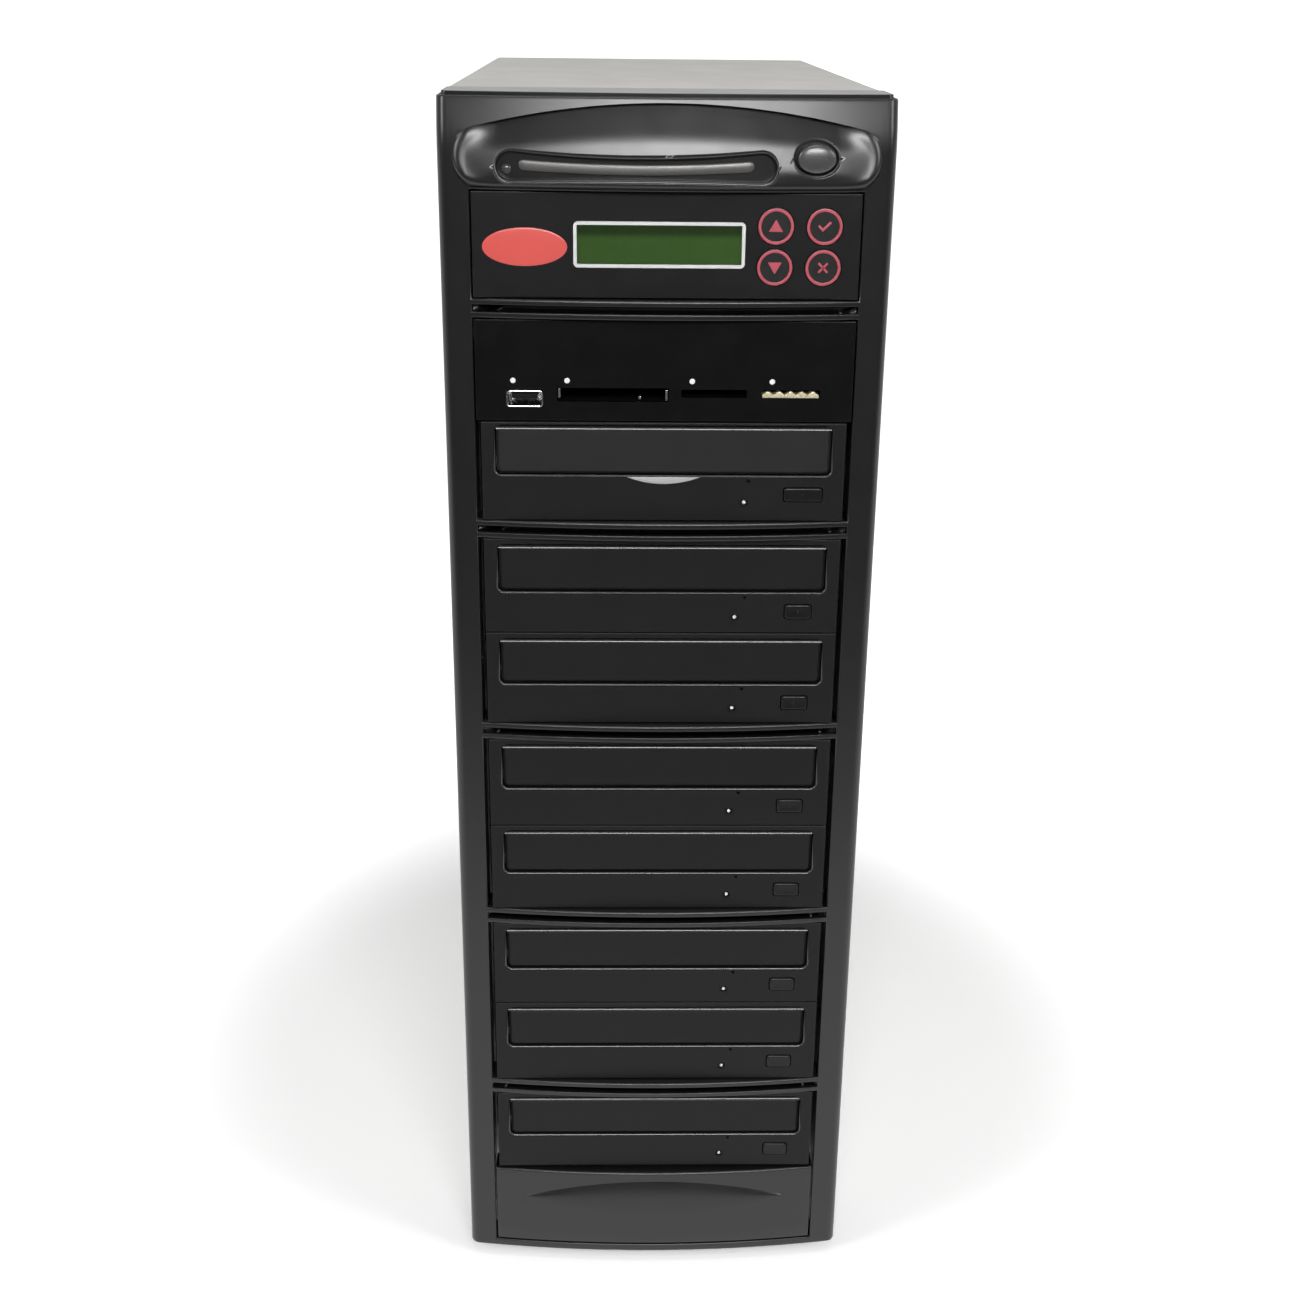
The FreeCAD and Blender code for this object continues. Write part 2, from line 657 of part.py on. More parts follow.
def make_control_panel():
    """The panel of the top bay, its display in a pale trim, four round keys and the board that they press."""
    through = (face_y - overrun, face_y + overrun)
    panel = bay_panel(panel_z)
    opening_x = (trim_x_range[0] + trim_line, trim_x_range[1] - trim_line)
    opening_z = (trim_z_range[0] + trim_line, trim_z_range[1] - trim_line)
    panel = panel.cut(rounded((trim_x_range[0] - trim_fit, trim_x_range[1] + trim_fit), through,
                              (trim_z_range[0] - trim_fit, trim_z_range[1] + trim_fit), trim_corner))
    trim = rounded(trim_x_range, (face_y - trim_proud, face_y + panel_thickness), trim_z_range, trim_corner)
    save("display_trim", trim.cut(box(opening_x, through, opening_z)))
    glass_y = (face_y + display_recess, face_y + panel_thickness)
    glass = box((opening_x[0] + trim_fit, opening_x[1] - trim_fit), glass_y,
                (opening_z[0] + trim_fit, opening_z[1] - trim_fit))
    back = box((trim_x_range[0] - display_margin, trim_x_range[1] + display_margin),
               (face_y + panel_thickness, face_y + panel_thickness + display_depth),
               (trim_z_range[0] - display_margin, trim_z_range[1] + display_margin))
    board_front = face_y + board_y
    board = box((-panel_half + board_margin, panel_half - board_margin), (board_front, board_front + board_thickness),
                (panel_z + board_margin, panel_z + drive_height - board_margin))
    for name, (x, rise) in key_places.items():
        z = panel_z + rise
        panel = panel.cut(rod(key_radius + key_gap, x, through, z))
        cap_y = (face_y - key_proud, face_y - key_proud + key_length)
        key = rod(key_radius, x, cap_y, z)
        key = key.cut(rod(key_radius - key_rim, x, (cap_y[0] - overrun, cap_y[0] + key_dish), z))
        flange_front = face_y + panel_thickness + fit_gap / 2
        flange_y = (flange_front, flange_front + key_flange_thickness)
        key = key.fuse(rod(key_radius + key_flange, x, flange_y, z))
        tact_front = board_front - tact_height
        key = key.fuse(rod(key_stem_radius, x, (flange_y[0], tact_front - key_travel - fit_gap / 2), z))
        save(name, key.removeSplitter())
        tact = box((x - tact_half, x + tact_half), (tact_front, board_front), (z - tact_half, z + tact_half))
        board = board.fuse(tact)
        back = back.cut(rod(key_radius + key_flange + fit_gap, x, through, z))
    save("control_panel", panel.removeSplitter())
    save("display_module", glass.fuse(back).removeSplitter())
    save("control_board", board.removeSplitter())
    save("badge", oval(badge_half_x, badge_half_z, badge_x, (face_y - badge_thickness, face_y), panel_z + badge_rise))


# Card reader of the second bay
usb_side = 19.7
usb_half_x = 7.4
usb_half_z = 3.4
usb_wall = 0.6
usb_corner = 0.8
usb_depth = 14.0
usb_tongue = 1.0
usb_rise = 9.2
usb_tongue_margin = 1.6
wide_slot_height = 5.6
wide_slot_rise = 10.9
wide_slot_depth = 38.0
small_slot_height = 3.3
small_slot_rise = 11.6
small_slot_depth = 24.0
module_side = 3.5
module_depth = 60.0
module_low = 3.6
module_high = 22.0
lamp_row_rise = 16.6
lamp_row_radius = 1.1
lamp_row_length = 5.0
lamp_row_proud = 0.2
usb_x = -panel_half + usb_side
module_half = panel_half - bezel_wall - module_side
# Middle and half width of each card slot, and the lamps' places, as shares of the panel's half width
wide_slot_shares = (-0.27368, 0.29605)
square_slot_shares = (0.26316, 0.17368)
narrow_slot_shares = (0.66974, 0.15789)
lamp_place_shares = (-0.80132, -0.51579, 0.14605, 0.56974)
card_slots = [(wide_slot_shares, wide_slot_height, wide_slot_rise, wide_slot_depth),
              (square_slot_shares, small_slot_height, small_slot_rise, small_slot_depth),
              (narrow_slot_shares, small_slot_height, small_slot_rise, small_slot_depth)]
lamp_row_xs = [share * panel_half for share in lamp_place_shares]


def make_card_reader():
    """The card reader: its panel, the block of card slots behind it and a plug socket in a steel shell."""
    through = (face_y - overrun, face_y + overrun)
    panel = bay_panel(card_z)
    module_y = (face_y + panel_thickness, face_y + panel_thickness + module_depth)
    module = box((-module_half, module_half), module_y, (card_z + module_low, card_z + module_high))
    for (place_share, half_share), height, rise, depth in card_slots:
        slot_y = (face_y - overrun, face_y + panel_thickness + depth)
        opening = box(((place_share - half_share) * panel_half, (place_share + half_share) * panel_half), slot_y,
                      (card_z + rise - height / 2, card_z + rise + height / 2))
        panel = panel.cut(opening)
        module = module.cut(opening)
    usb_z = card_z + usb_rise
    shell_y = (face_y - lamp_row_proud, face_y + usb_depth)
    outer = rounded((usb_x - usb_half_x, usb_x + usb_half_x), shell_y,
                    (usb_z - usb_half_z, usb_z + usb_half_z), usb_corner)
    inner_x = (usb_x - usb_half_x + usb_wall, usb_x + usb_half_x - usb_wall)
    inner_z = (usb_z - usb_half_z + usb_wall, usb_z + usb_half_z - usb_wall)
    shell = outer.cut(box(inner_x, (shell_y[0] - overrun, shell_y[1] - usb_wall), inner_z))
    tongue = box((inner_x[0] + usb_tongue_margin, inner_x[1] - usb_tongue_margin), (face_y + usb_wall, shell_y[1]),
                 (usb_z, usb_z + 2 * usb_tongue))
    save("usb_port", shell.fuse(tongue).removeSplitter())
    socket = box((usb_x - usb_half_x, usb_x + usb_half_x), (face_y - overrun, shell_y[1]),
                 (usb_z - usb_half_z, usb_z + usb_half_z))
    panel = panel.cut(socket)
    module = module.cut(socket)
    for x in lamp_row_xs:
        hole = rod(lamp_row_radius, x, (face_y - overrun, face_y + lamp_row_length), card_z + lamp_row_rise)
        panel = panel.cut(hole)
        module = module.cut(hole)
    save("card_reader_panel", panel.removeSplitter())
    save("card_reader_module", module.removeSplitter())


# Lamps of the hood, the card reader and the drives
drive_lamp_length = 4.0
drive_lamp_recess = 0.3
drive_lamp_fit = 0.1


def make_lamps():
    """Small clear lenses: one in the hood, four over the card slots and one in each drive."""
    slot_floor = bow_y(lamp_x, nose_proud - slot_depth)
    lenses = [rod(lamp_radius, lamp_x, (slot_floor - strip_thickness, slot_floor + hood_wall), slot_z + lamp_rise)]
    for x in lamp_row_xs:
        lenses.append(rod(lamp_row_radius, x, (face_y - lamp_row_proud, face_y + lamp_row_length - lamp_row_proud),
                          card_z + lamp_row_rise))
    places = [(reader_lamp_x, reader_z + reader_lamp_rise)]
    places = places + [(writer_lamp_x, z + writer_lamp_rise) for z in writer_levels]
    for x, z in places:
        lens_y = (face_y + drive_lamp_recess, face_y + drive_lamp_recess + drive_lamp_length)
        lenses.append(rod(lamp_hole_radius - drive_lamp_fit, x, lens_y, z))
    save("indicator_lamps", *lenses)


# Steel chassis, panels and rails
frame_window_gap = 1.0
frame_window_margin = 2.0
rail_gap = 0.5
rail_length = 140.0
back_flange = 12.0
supply_side = 13.0
supply_height = 86.0
supply_length = 140.0
supply_drop = 6.0
supply_window_margin = 4.0
supply_wall = 1.0
fan_half = 40.0
fan_rim = 2.0
fan_depth = 25.0
fan_centre_drop = 62.0
grille_slot = 3.8
grille_bar = 2.6
grille_hub = 8.0
grille_spoke_half = 2.0
grille_turn = 45.0
top_flange = 10.0
vent_count = 9
vent_pitch = 9.0
vent_height = 3.6
vent_length = 60.0
vent_rise = 52.0
vent_back = 60.0
board_hole_inset = 8.0
standoff_radius = 3.0
standoff_length = 10.0
controller_side = 33.0
controller_low = 40.0
controller_height = 150.0
controller_chip = 16.0
controller_chip_height = 5.0
controller_plug_half = 8.0
controller_plug_depth = 9.0
thumb_radius = 2.0
thumb_head_radius = 6.0
thumb_gap = 0.15
thumb_length = 8.0
thumb_inset = 6.5
thumb_low = 30.0
thumb_high = 40.0
thumb_flat = 1.0
foot_radius = 10.0
foot_inset_x = 16.0
foot_front_y = 52.0
foot_back_inset = 26.0
foot_screw_radius = 2.2
fan_radius = fan_half - fan_rim
frame_window_half = window_half + frame_window_gap
supply_half_x = case_half - supply_side
controller_half = case_half - controller_side
supply_z = case_top_z - sheet - supply_drop - supply_height
fan_z = supply_z - fan_centre_drop
thumb_places = [(side * (case_half - thumb_inset), z) for side in (-1, 1)
                for z in (case_z + thumb_low, case_top_z - thumb_high)]


def grille(x, z, y):
    """Rings of curved slots about a hub, with four spokes left between them."""
    slots = []
    inner = grille_hub
    while inner + grille_slot < fan_radius:
        ring = rod(inner + grille_slot, x, y, z).cut(rod(inner, x, y, z))
        slots.append(ring)
        inner = inner + grille_slot + grille_bar
    rings = slots[0]
    for ring in slots[1:]:
        rings = rings.fuse(ring)
    for angle in (grille_turn, -grille_turn):
        spoke = box((x - fan_half, x + fan_half), y, (z - grille_spoke_half, z + grille_spoke_half))
        spoke.rotate(V(x, 0, z), V(0, 1, 0), angle)
        rings = rings.cut(spoke)
    return rings


def make_chassis():
    """The folded steel chassis: base pan, front frame and back panel with its openings."""
    base = box((-case_half, case_half), (frame_y, back_y), (case_z, case_z + sheet))
    front_z = (case_z + sheet, case_top_z - sheet)
    front = box((-inner_half, inner_half), (frame_y, frame_y + sheet), front_z)
    window_z = (bay_z[0] - frame_window_margin, bays_top_z + frame_window_margin)
    front = front.cut(box((-frame_window_half, frame_window_half), (frame_y - overrun, frame_y + overrun), window_z))
    back = box((-inner_half, inner_half), (back_y - sheet, back_y), front_z)
    for side in (-1, 1):
        flange_x = sorted((side * inner_half, side * (inner_half - sheet)))
        flange = box(flange_x, (back_y - back_flange, back_y), front_z)
        front_flange = box(flange_x, (frame_y, frame_y + back_flange), front_z)
        back = back.fuse(flange)
        front = front.fuse(front_flange)
    through = (back_y - overrun, back_y + overrun)
    supply_window_x = (-supply_half_x + supply_window_margin, supply_half_x - supply_window_margin)
    supply_window_z = (supply_z + supply_window_margin, supply_z + supply_height - supply_window_margin)
    back = back.cut(box(supply_window_x, through, supply_window_z))
    back = back.cut(grille(0, fan_z, through))
    for x, z in thumb_places:
        back = back.cut(rod(thumb_radius + thumb_gap, x, through, z))
    for x in (-controller_half + board_hole_inset, controller_half - board_hole_inset):
        for z in (controller_low + board_hole_inset, controller_low + controller_height - board_hole_inset):
            post = rod(standoff_radius, x, (back_y - sheet - standoff_length, back_y - sheet), case_z + z)
            back = back.fuse(post)
    chassis = base.fuse(front).fuse(back)
    for x, y in foot_places():
        hole = Part.makeCylinder(foot_screw_radius, 2 * overrun, V(x, y, case_z - overrun))
        chassis = chassis.cut(hole)
    save("chassis", chassis.removeSplitter())


def foot_places():
    """The four corners where the feet stand."""
    return [(side * (case_half - foot_inset_x), y) for side in (-1, 1)
            for y in (front_y + foot_front_y, back_y - foot_back_inset)]


def make_panels():
    """The two side panels with their vents and rear flanges, and the top panel with its folded edges."""
    side_z = (case_z + sheet, case_top_z - sheet)
    through_x = (inner_half - overrun, case_half + overrun)
    for name, side in (("left_side_panel", -1), ("right_side_panel", 1)):
        panel = box((inner_half, case_half), (frame_y, back_y + sheet), side_z)
        flange = box((case_half - side_flange_width, case_half), (back_y, back_y + sheet), side_z)
        panel = panel.fuse(flange)
        for number in range(vent_count):
            low = case_z + vent_rise + number * vent_pitch
            vent_y = (back_y - vent_back - vent_length, back_y - vent_back)
            panel = panel.cut(box(through_x, vent_y, (low, low + vent_height)))
        for x, z in thumb_places:
            panel = panel.cut(rod(thumb_radius + thumb_gap, abs(x), (back_y - overrun, back_y + overrun), z))
        panel = panel.removeSplitter()
        save(name, panel if side > 0 else panel.mirror(V(0, 0, 0), V(1, 0, 0)))
    top = box((-case_half, case_half), (frame_y, back_y + sheet), (case_top_z - sheet, case_top_z))
    fold = inner_half - sheet - fit_gap / 2
    for side in (-1, 1):
        fold_x = sorted((side * fold, side * (fold - sheet)))
        fold_y = (frame_y + back_flange + fit_gap, back_y - back_flange - fit_gap)
        top = top.fuse(box(fold_x, fold_y, (case_top_z - top_flange, case_top_z - sheet)))
    save("top_panel", top.removeSplitter())


def make_rails():
    """Upright steel plates on both sides of the drives, with a hole for each drive screw."""
    rail_x = (drive_case_width / 2 + rail_gap, drive_case_width / 2 + rail_gap + sheet)
    rail_y = (frame_y + sheet, frame_y + sheet + rail_length)
    rail = box(rail_x, rail_y, (case_z + sheet, bays_top_z))
    foot = box((rail_x[0], inner_half - sheet), rail_y, (case_z + sheet, case_z + 2 * sheet))
    rail = rail.fuse(foot)
    for z in drive_levels():
        for screw_y in (screw_first_y, screw_first_y + screw_spacing):
            hole = cross_rod(screw_radius + screw_gap, (rail_x[0] - overrun, rail_x[1] + overrun),
                             front_y + screw_y, z + screw_rise)
            rail = rail.cut(hole)
    rail = rail.removeSplitter()
    save("right_drive_rail", rail)
    save("left_drive_rail", rail.mirror(V(0, 0, 0), V(1, 0, 0)))


def drive_levels():
    """The bottom of each bay that holds a drive."""
    return [reader_z] + list(writer_levels)


def make_fasteners():
    """Screws of the drives, thumb screws of the side panels and rubber feet."""
    screws = []
    head_x = drive_case_width / 2 + rail_gap + sheet
    for z in drive_levels():
        for screw_y in (screw_first_y, screw_first_y + screw_spacing):
            y, height = front_y + screw_y, z + screw_rise
            head = cross_rod(screw_head_radius, (head_x, head_x + screw_head_height), y, height)
            shank = cross_rod(screw_radius, (head_x - screw_length, head_x), y, height)
            screw = head.fuse(shank).removeSplitter()
            screws.append(screw)
            screws.append(screw.mirror(V(0, 0, 0), V(1, 0, 0)))
    save("drive_screws", *screws)
    thumbs = []
    for x, z in thumb_places:
        head = rod(thumb_head_radius, x, (back_y + sheet, back_y + sheet + thumb_head_length), z)
        rims = [edge for edge in head.Edges if edge.BoundBox.YMin > back_y + sheet + thumb_head_length - fit_gap]
        head = head.makeChamfer(thumb_flat, rims)
        shank = rod(thumb_radius, x, (back_y + sheet - thumb_length, back_y + sheet), z)
        thumbs.append(head.fuse(shank).removeSplitter())
    save("thumb_screws", *thumbs)
    feet = []
    for x, y in foot_places():
        pad = Part.makeCylinder(foot_radius, case_z, V(x, y, 0))
        stem = Part.makeCylinder(foot_screw_radius - fit_gap / 2, sheet, V(x, y, case_z))
        feet.append(pad.fuse(stem).removeSplitter())
    save("feet", *feet)


# Power supply and fans
supply_fan_side = 47.0
supply_pin = 2.0
hub_radius = 17.0
hub_wall = 2.0
blade_count = 7
blade_thickness = 1.6
blade_chord = 22.0
blade_pitch = 38.0
blade_gap = 1.3
axle_gap = 0.05
rotor_depth = 18.0
rotor_setback = 3.0
inlet_side = 25.0
inlet_rise = 27.0
inlet_half_x = 13.5
inlet_half_z = 10.0
inlet_cavity_half_x = 12.2
inlet_cavity_half_z = 8.6
inlet_depth = 20.0
inlet_floor = 3.0
inlet_flange = 2.0
inlet_flange_thickness = 1.5
inlet_pin_half_x = 1.0
inlet_pin_half_z = 2.0
inlet_pin_spread = 7.0
inlet_pin_offset = 2.0
inlet_pin_setback = 3.0
rocker_rise = 62.0
rocker_half_x = 9.2
rocker_half_z = 6.2
rocker_depth = 5.0
rocker_angle = 10.0
rocker_axle_radius = 1.2
rocker_axle_length = 1.5
rocker_gap = 0.8
rocker_well = 12.0
rocker_well_wall = 1.0
strut_half = 2.5
strut_depth = 3.0
motor_radius = 16.0
fan_hole_inset = 4.25
fan_hole_radius = 2.2
fan_corner = 4.0
supply_fan_x = -supply_half_x + supply_fan_side
inlet_x = supply_half_x - inlet_side


def make_rotor(x, z, front, axle_radius):
    """A fan's rotor: a cup-shaped hub with pitched blades round it, on a bore for the axle."""
    y = (front, front + rotor_depth)
    hub = rod(hub_radius, x, y, z)
    hub = hub.cut(rod(hub_radius - hub_wall, x, (y[0] - overrun, y[1] - hub_wall), z))
    hub = hub.fuse(rod(axle_radius + hub_wall, x, y, z))
    tip = fan_radius - blade_gap
    middle = (y[0] + y[1]) / 2
    root = hub_radius - hub_wall / 2
    band = rod(tip, x, y, z).cut(rod(root, x, y, z))
    rotor = hub
    for number in range(blade_count):
        blade = box((root - hub_wall, fan_radius), (middle - blade_chord / 2, middle + blade_chord / 2),
                    (-blade_thickness / 2, blade_thickness / 2))
        blade.rotate(V(0, middle, 0), V(1, 0, 0), blade_pitch)
        blade.rotate(V(0, 0, 0), V(0, 1, 0), 360 * number / blade_count)
        blade.translate(V(x, 0, z))
        rotor = rotor.fuse(blade.common(band))
    return rotor.cut(rod(axle_radius + axle_gap, x, (y[0] - overrun, y[1] + overrun), z)).removeSplitter()


def make_power_supply():
    """The power supply: a steel case with a grille, its fan, the mains inlet and the rocker switch."""
    y = (back_y - sheet - supply_length, back_y - sheet)
    z = (supply_z, supply_z + supply_height)
    case = box((-supply_half_x, supply_half_x), y, z)
    case = case.cut(box((-supply_half_x + supply_wall, supply_half_x - supply_wall),
                        (y[0] + supply_wall, y[1] - supply_wall), (z[0] + supply_wall, z[1] - supply_wall)))
    through = (y[1] - overrun, y[1] + overrun)
    middle = supply_z + supply_height / 2
    case = case.cut(grille(supply_fan_x, middle, through))
    inlet_z = supply_z + inlet_rise
    rocker_z = supply_z + rocker_rise
    case = case.cut(box((inlet_x - inlet_half_x, inlet_x + inlet_half_x), through,
                        (inlet_z - inlet_half_z, inlet_z + inlet_half_z)))
    hole_x = (inlet_x - rocker_half_x - rocker_gap, inlet_x + rocker_half_x + rocker_gap)
    hole_z = (rocker_z - rocker_half_z - rocker_gap, rocker_z + rocker_half_z + rocker_gap)
    well_y = (y[1] - rocker_well, y[1] - supply_wall / 2)
    well = box((hole_x[0] - rocker_well_wall, hole_x[1] + rocker_well_wall), well_y,
               (hole_z[0] - rocker_well_wall, hole_z[1] + rocker_well_wall))
    case = case.fuse(well)
    case = case.cut(box(hole_x, (well_y[0] + rocker_well_wall, y[1] + overrun), hole_z))
    axle_hole = Part.makeCylinder(rocker_axle_radius + axle_gap, hole_z[1] - hole_z[0] + 2 * rocker_well_wall,
                                  V(inlet_x, y[1] - rocker_depth / 2, hole_z[0] - rocker_well_wall))
    case = case.cut(axle_hole)
    rotor_front = y[1] - supply_wall - rotor_setback - rotor_depth
    pin = rod(supply_pin, supply_fan_x, (rotor_front, y[1] - supply_wall / 2), middle)
    save("power_supply_case", case.fuse(pin).removeSplitter())
    save("power_supply_fan", make_rotor(supply_fan_x, middle, rotor_front, supply_pin))
    make_inlet(y[1], inlet_z)
    make_rocker(y[1], rocker_z)


def make_inlet(plate_y, z):
    """The three-pin mains inlet, open to the back."""
    flange_x = (inlet_x - inlet_half_x - inlet_flange, inlet_x + inlet_half_x + inlet_flange)
    flange_z = (z - inlet_half_z - inlet_flange, z + inlet_half_z + inlet_flange)
    flange = box(flange_x, (plate_y, plate_y + inlet_flange_thickness), flange_z)
    body = box((inlet_x - inlet_half_x, inlet_x + inlet_half_x), (plate_y - inlet_depth, plate_y),
               (z - inlet_half_z, z + inlet_half_z))
    floor = plate_y - inlet_depth + inlet_floor
    inlet = flange.fuse(body).cut(box((inlet_x - inlet_cavity_half_x, inlet_x + inlet_cavity_half_x),
                                      (floor, plate_y + overrun),
                                      (z - inlet_cavity_half_z, z + inlet_cavity_half_z)))
    pins = [(inlet_x, z + inlet_pin_offset), (inlet_x - inlet_pin_spread, z - inlet_pin_offset),
            (inlet_x + inlet_pin_spread, z - inlet_pin_offset)]
    for pin_place_x, pin_place_z in pins:
        inlet = inlet.fuse(box((pin_place_x - inlet_pin_half_x, pin_place_x + inlet_pin_half_x),
                               (floor - inlet_floor / 2, plate_y - inlet_pin_setback),
                               (pin_place_z - inlet_pin_half_z, pin_place_z + inlet_pin_half_z)))
    save("mains_inlet", inlet.removeSplitter())


def make_rocker(plate_y, z):
    """The rocker of the mains switch: a bar with a raised roof, tipped about a cross axle."""
    half_x = rocker_half_x
    depth = rocker_depth
    rise = math.tan(math.radians(rocker_angle)) * half_x
    top = plate_y
    points = [V(inlet_x - half_x, top - depth, 0), V(inlet_x + half_x, top - depth, 0),
              V(inlet_x + half_x, top + rise, 0), V(inlet_x, top, 0), V(inlet_x - half_x, top + rise, 0)]
    wire = Part.makePolygon(points + [points[0]])
    rocker = Part.Face(wire)
    rocker.translate(V(0, 0, z - rocker_half_z))
    rocker = rocker.extrude(V(0, 0, 2 * rocker_half_z))
    axle = Part.makeCylinder(rocker_axle_radius, 2 * (rocker_half_z + rocker_axle_length),
                             V(inlet_x, top - depth / 2, z - rocker_half_z - rocker_axle_length))
    save("mains_rocker", rocker.fuse(axle).removeSplitter())


def make_rear_fan():
    """The case fan behind the back panel's grille: a square frame on struts, and its rotor."""
    y = (back_y - sheet - fan_depth, back_y - sheet)
    frame = rounded((-fan_half, fan_half), y, (fan_z - fan_half, fan_z + fan_half), fan_corner)
    frame = frame.cut(rod(fan_radius, 0, (y[0] - overrun, y[1] + overrun), fan_z))
    hole = fan_half - fan_hole_inset
    for x in (-hole, hole):
        for z in (fan_z - hole, fan_z + hole):
            frame = frame.cut(rod(fan_hole_radius, x, (y[0] - overrun, y[1] + overrun), z))
    strut_y = (y[0], y[0] + strut_depth)
    for angle in (grille_turn, -grille_turn):
        strut = box((-fan_radius - strut_half, fan_radius + strut_half), strut_y, (-strut_half, strut_half))
        strut.rotate(V(0, 0, 0), V(0, 1, 0), angle)
        strut.translate(V(0, 0, fan_z))
        frame = frame.fuse(strut)
    frame = frame.fuse(rod(motor_radius, 0, strut_y, fan_z))
    rotor_front = strut_y[1] + fit_gap
    frame = frame.fuse(rod(supply_pin, 0, (y[0], rotor_front + rotor_depth - hub_wall), fan_z))
    save("rear_fan_frame", frame.removeSplitter())
    save("rear_fan_rotor", make_rotor(0, fan_z, rotor_front, supply_pin))


def make_controller():
    """The copy controller's board on the back panel's posts, with its chip and a row of drive sockets."""
    back = back_y - sheet - standoff_length
    low = case_z + controller_low
    board = box((-controller_half, controller_half), (back - board_thickness, back), (low, low + controller_height))
    middle = low + controller_height / 2
    front = back - board_thickness
    chip = box((-controller_chip, controller_chip), (front - controller_chip_height, front),
               (middle - controller_chip, middle + controller_chip))
    board = board.fuse(chip)
    for number in range(len(drive_levels())):
        step = controller_height / (len(drive_levels()) + 1)
        z = low + step * (number + 1)
        x = controller_half - board_hole_inset - controller_plug_half
        plug = box((x - controller_plug_half, x), (front - controller_plug_depth, front),
                   (z - controller_plug_half / 2, z + controller_plug_half / 2))
        board = board.fuse(plug)
    save("controller_board", board.removeSplitter())


save("front_bezel", make_bezel())
make_power_switch(make_hood_fittings())
save("lower_cover", make_lower_cover())
make_drives()
make_control_panel()
make_card_reader()
make_lamps()
make_chassis()
make_panels()
make_rails()
make_fasteners()
make_power_supply()
make_rear_fan()
make_controller()
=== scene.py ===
import math
import bmesh
import bpy
import numpy as np
from mathutils import Matrix, Vector


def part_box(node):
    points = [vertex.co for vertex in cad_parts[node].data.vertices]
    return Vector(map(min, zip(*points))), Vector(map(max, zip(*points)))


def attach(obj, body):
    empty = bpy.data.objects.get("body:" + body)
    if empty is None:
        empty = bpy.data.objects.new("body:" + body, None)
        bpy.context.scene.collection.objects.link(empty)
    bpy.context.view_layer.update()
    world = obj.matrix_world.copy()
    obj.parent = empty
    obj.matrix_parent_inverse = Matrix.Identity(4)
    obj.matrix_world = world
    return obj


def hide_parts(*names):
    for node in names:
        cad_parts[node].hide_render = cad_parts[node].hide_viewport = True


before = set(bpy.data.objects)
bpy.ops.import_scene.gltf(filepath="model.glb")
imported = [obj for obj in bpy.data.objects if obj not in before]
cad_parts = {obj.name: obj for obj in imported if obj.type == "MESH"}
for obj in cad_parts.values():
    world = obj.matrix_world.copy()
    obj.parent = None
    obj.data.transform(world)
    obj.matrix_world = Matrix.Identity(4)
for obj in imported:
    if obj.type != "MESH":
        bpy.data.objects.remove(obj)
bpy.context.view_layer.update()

# Chassis, rails and drive cases: zinc-coated sheet steel, folded and riveted.
# The rolled sheet has a fine grain along its length and a faint cloudy bloom of the zinc.


def fill(tree, made, sockets):
    """Give each socket of a shader node, by name or number, its value or a link from the output given."""
    for socket, value in sockets.items():
        if isinstance(value, bpy.types.NodeSocket):
            tree.links.new(value, made.inputs[socket])
        else:
            made.inputs[socket].default_value = value


def node(tree, kind, sockets, **settings):
    """A new shader node of a kind, with its settings made and its sockets filled."""
    made = tree.nodes.new("ShaderNode" + kind)
    for setting, value in settings.items():
        setattr(made, setting, value)
    fill(tree, made, sockets)
    return made


def noise(tree, place, size, detail):
    """Cloudy noise whose lumps are about size across."""
    return node(tree, "TexNoise", {"Vector": place, "Scale": 1 / size, "Detail": detail}).outputs["Fac"]


def finish(name, colour, rough, metal=0.0, wander=0.08, patch=0.03, gloss=0.05, grain=0.0004,
           relief=0.000006, drawn=(1.0, 1.0, 1.0), shine_level=0.5):
    """A finish on the piece's own place: the colour is colour times 1 - wander to 1 + wander over patches,
    the roughness is rough - gloss to rough + gloss over a third of a patch, and grains one grain wide stand
    up by relief. The grain is stretched by the inverse of drawn."""
    made = bpy.data.materials.new(name)
    made.use_nodes = True
    tree = made.node_tree
    place = node(tree, "TexCoord", {}).outputs["Object"]
    along = node(tree, "Mapping", {"Vector": place, "Scale": drawn}).outputs["Vector"]
    tone = node(tree, "Mix", {"Factor": noise(tree, place, patch, 3),
                              "A": [c * (1 - wander) for c in colour] + [1],
                              "B": [min(c * (1 + wander), 1) for c in colour] + [1]}, data_type="RGBA")
    shine = node(tree, "MapRange", {"Value": noise(tree, along, patch / 3, 4), "From Min": 0.3,
                                    "From Max": 0.7, "To Min": rough - gloss, "To Max": rough + gloss})
    bump = node(tree, "Bump", {"Height": noise(tree, along, grain, 1), "Distance": relief})
    fill(tree, tree.nodes["Principled BSDF"], {
        "Base Color": tone.outputs["Result"], "Roughness": shine.outputs["Result"],
        "Normal": bump.outputs["Normal"], "Metallic": metal, "Specular IOR Level": shine_level})
    return made


def dress(made, *names):
    """Give CAD nodes a finish in every material slot that they have."""
    for name in names:
        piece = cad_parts[name]
        if not piece.material_slots:
            piece.data.materials.append(made)
        for place in piece.material_slots:
            place.material = made


zinc = finish("zinc_sheet", (0.55, 0.56, 0.57), 0.34, metal=1.0, wander=0.07, patch=0.018, gloss=0.08,
              grain=0.0012, relief=0.000012, drawn=(1.0, 1.0, 0.12))
dress(zinc, "chassis", "left_drive_rail", "right_drive_rail", "upper_drive_cases", "lower_drive_cases",
      "power_supply_case")

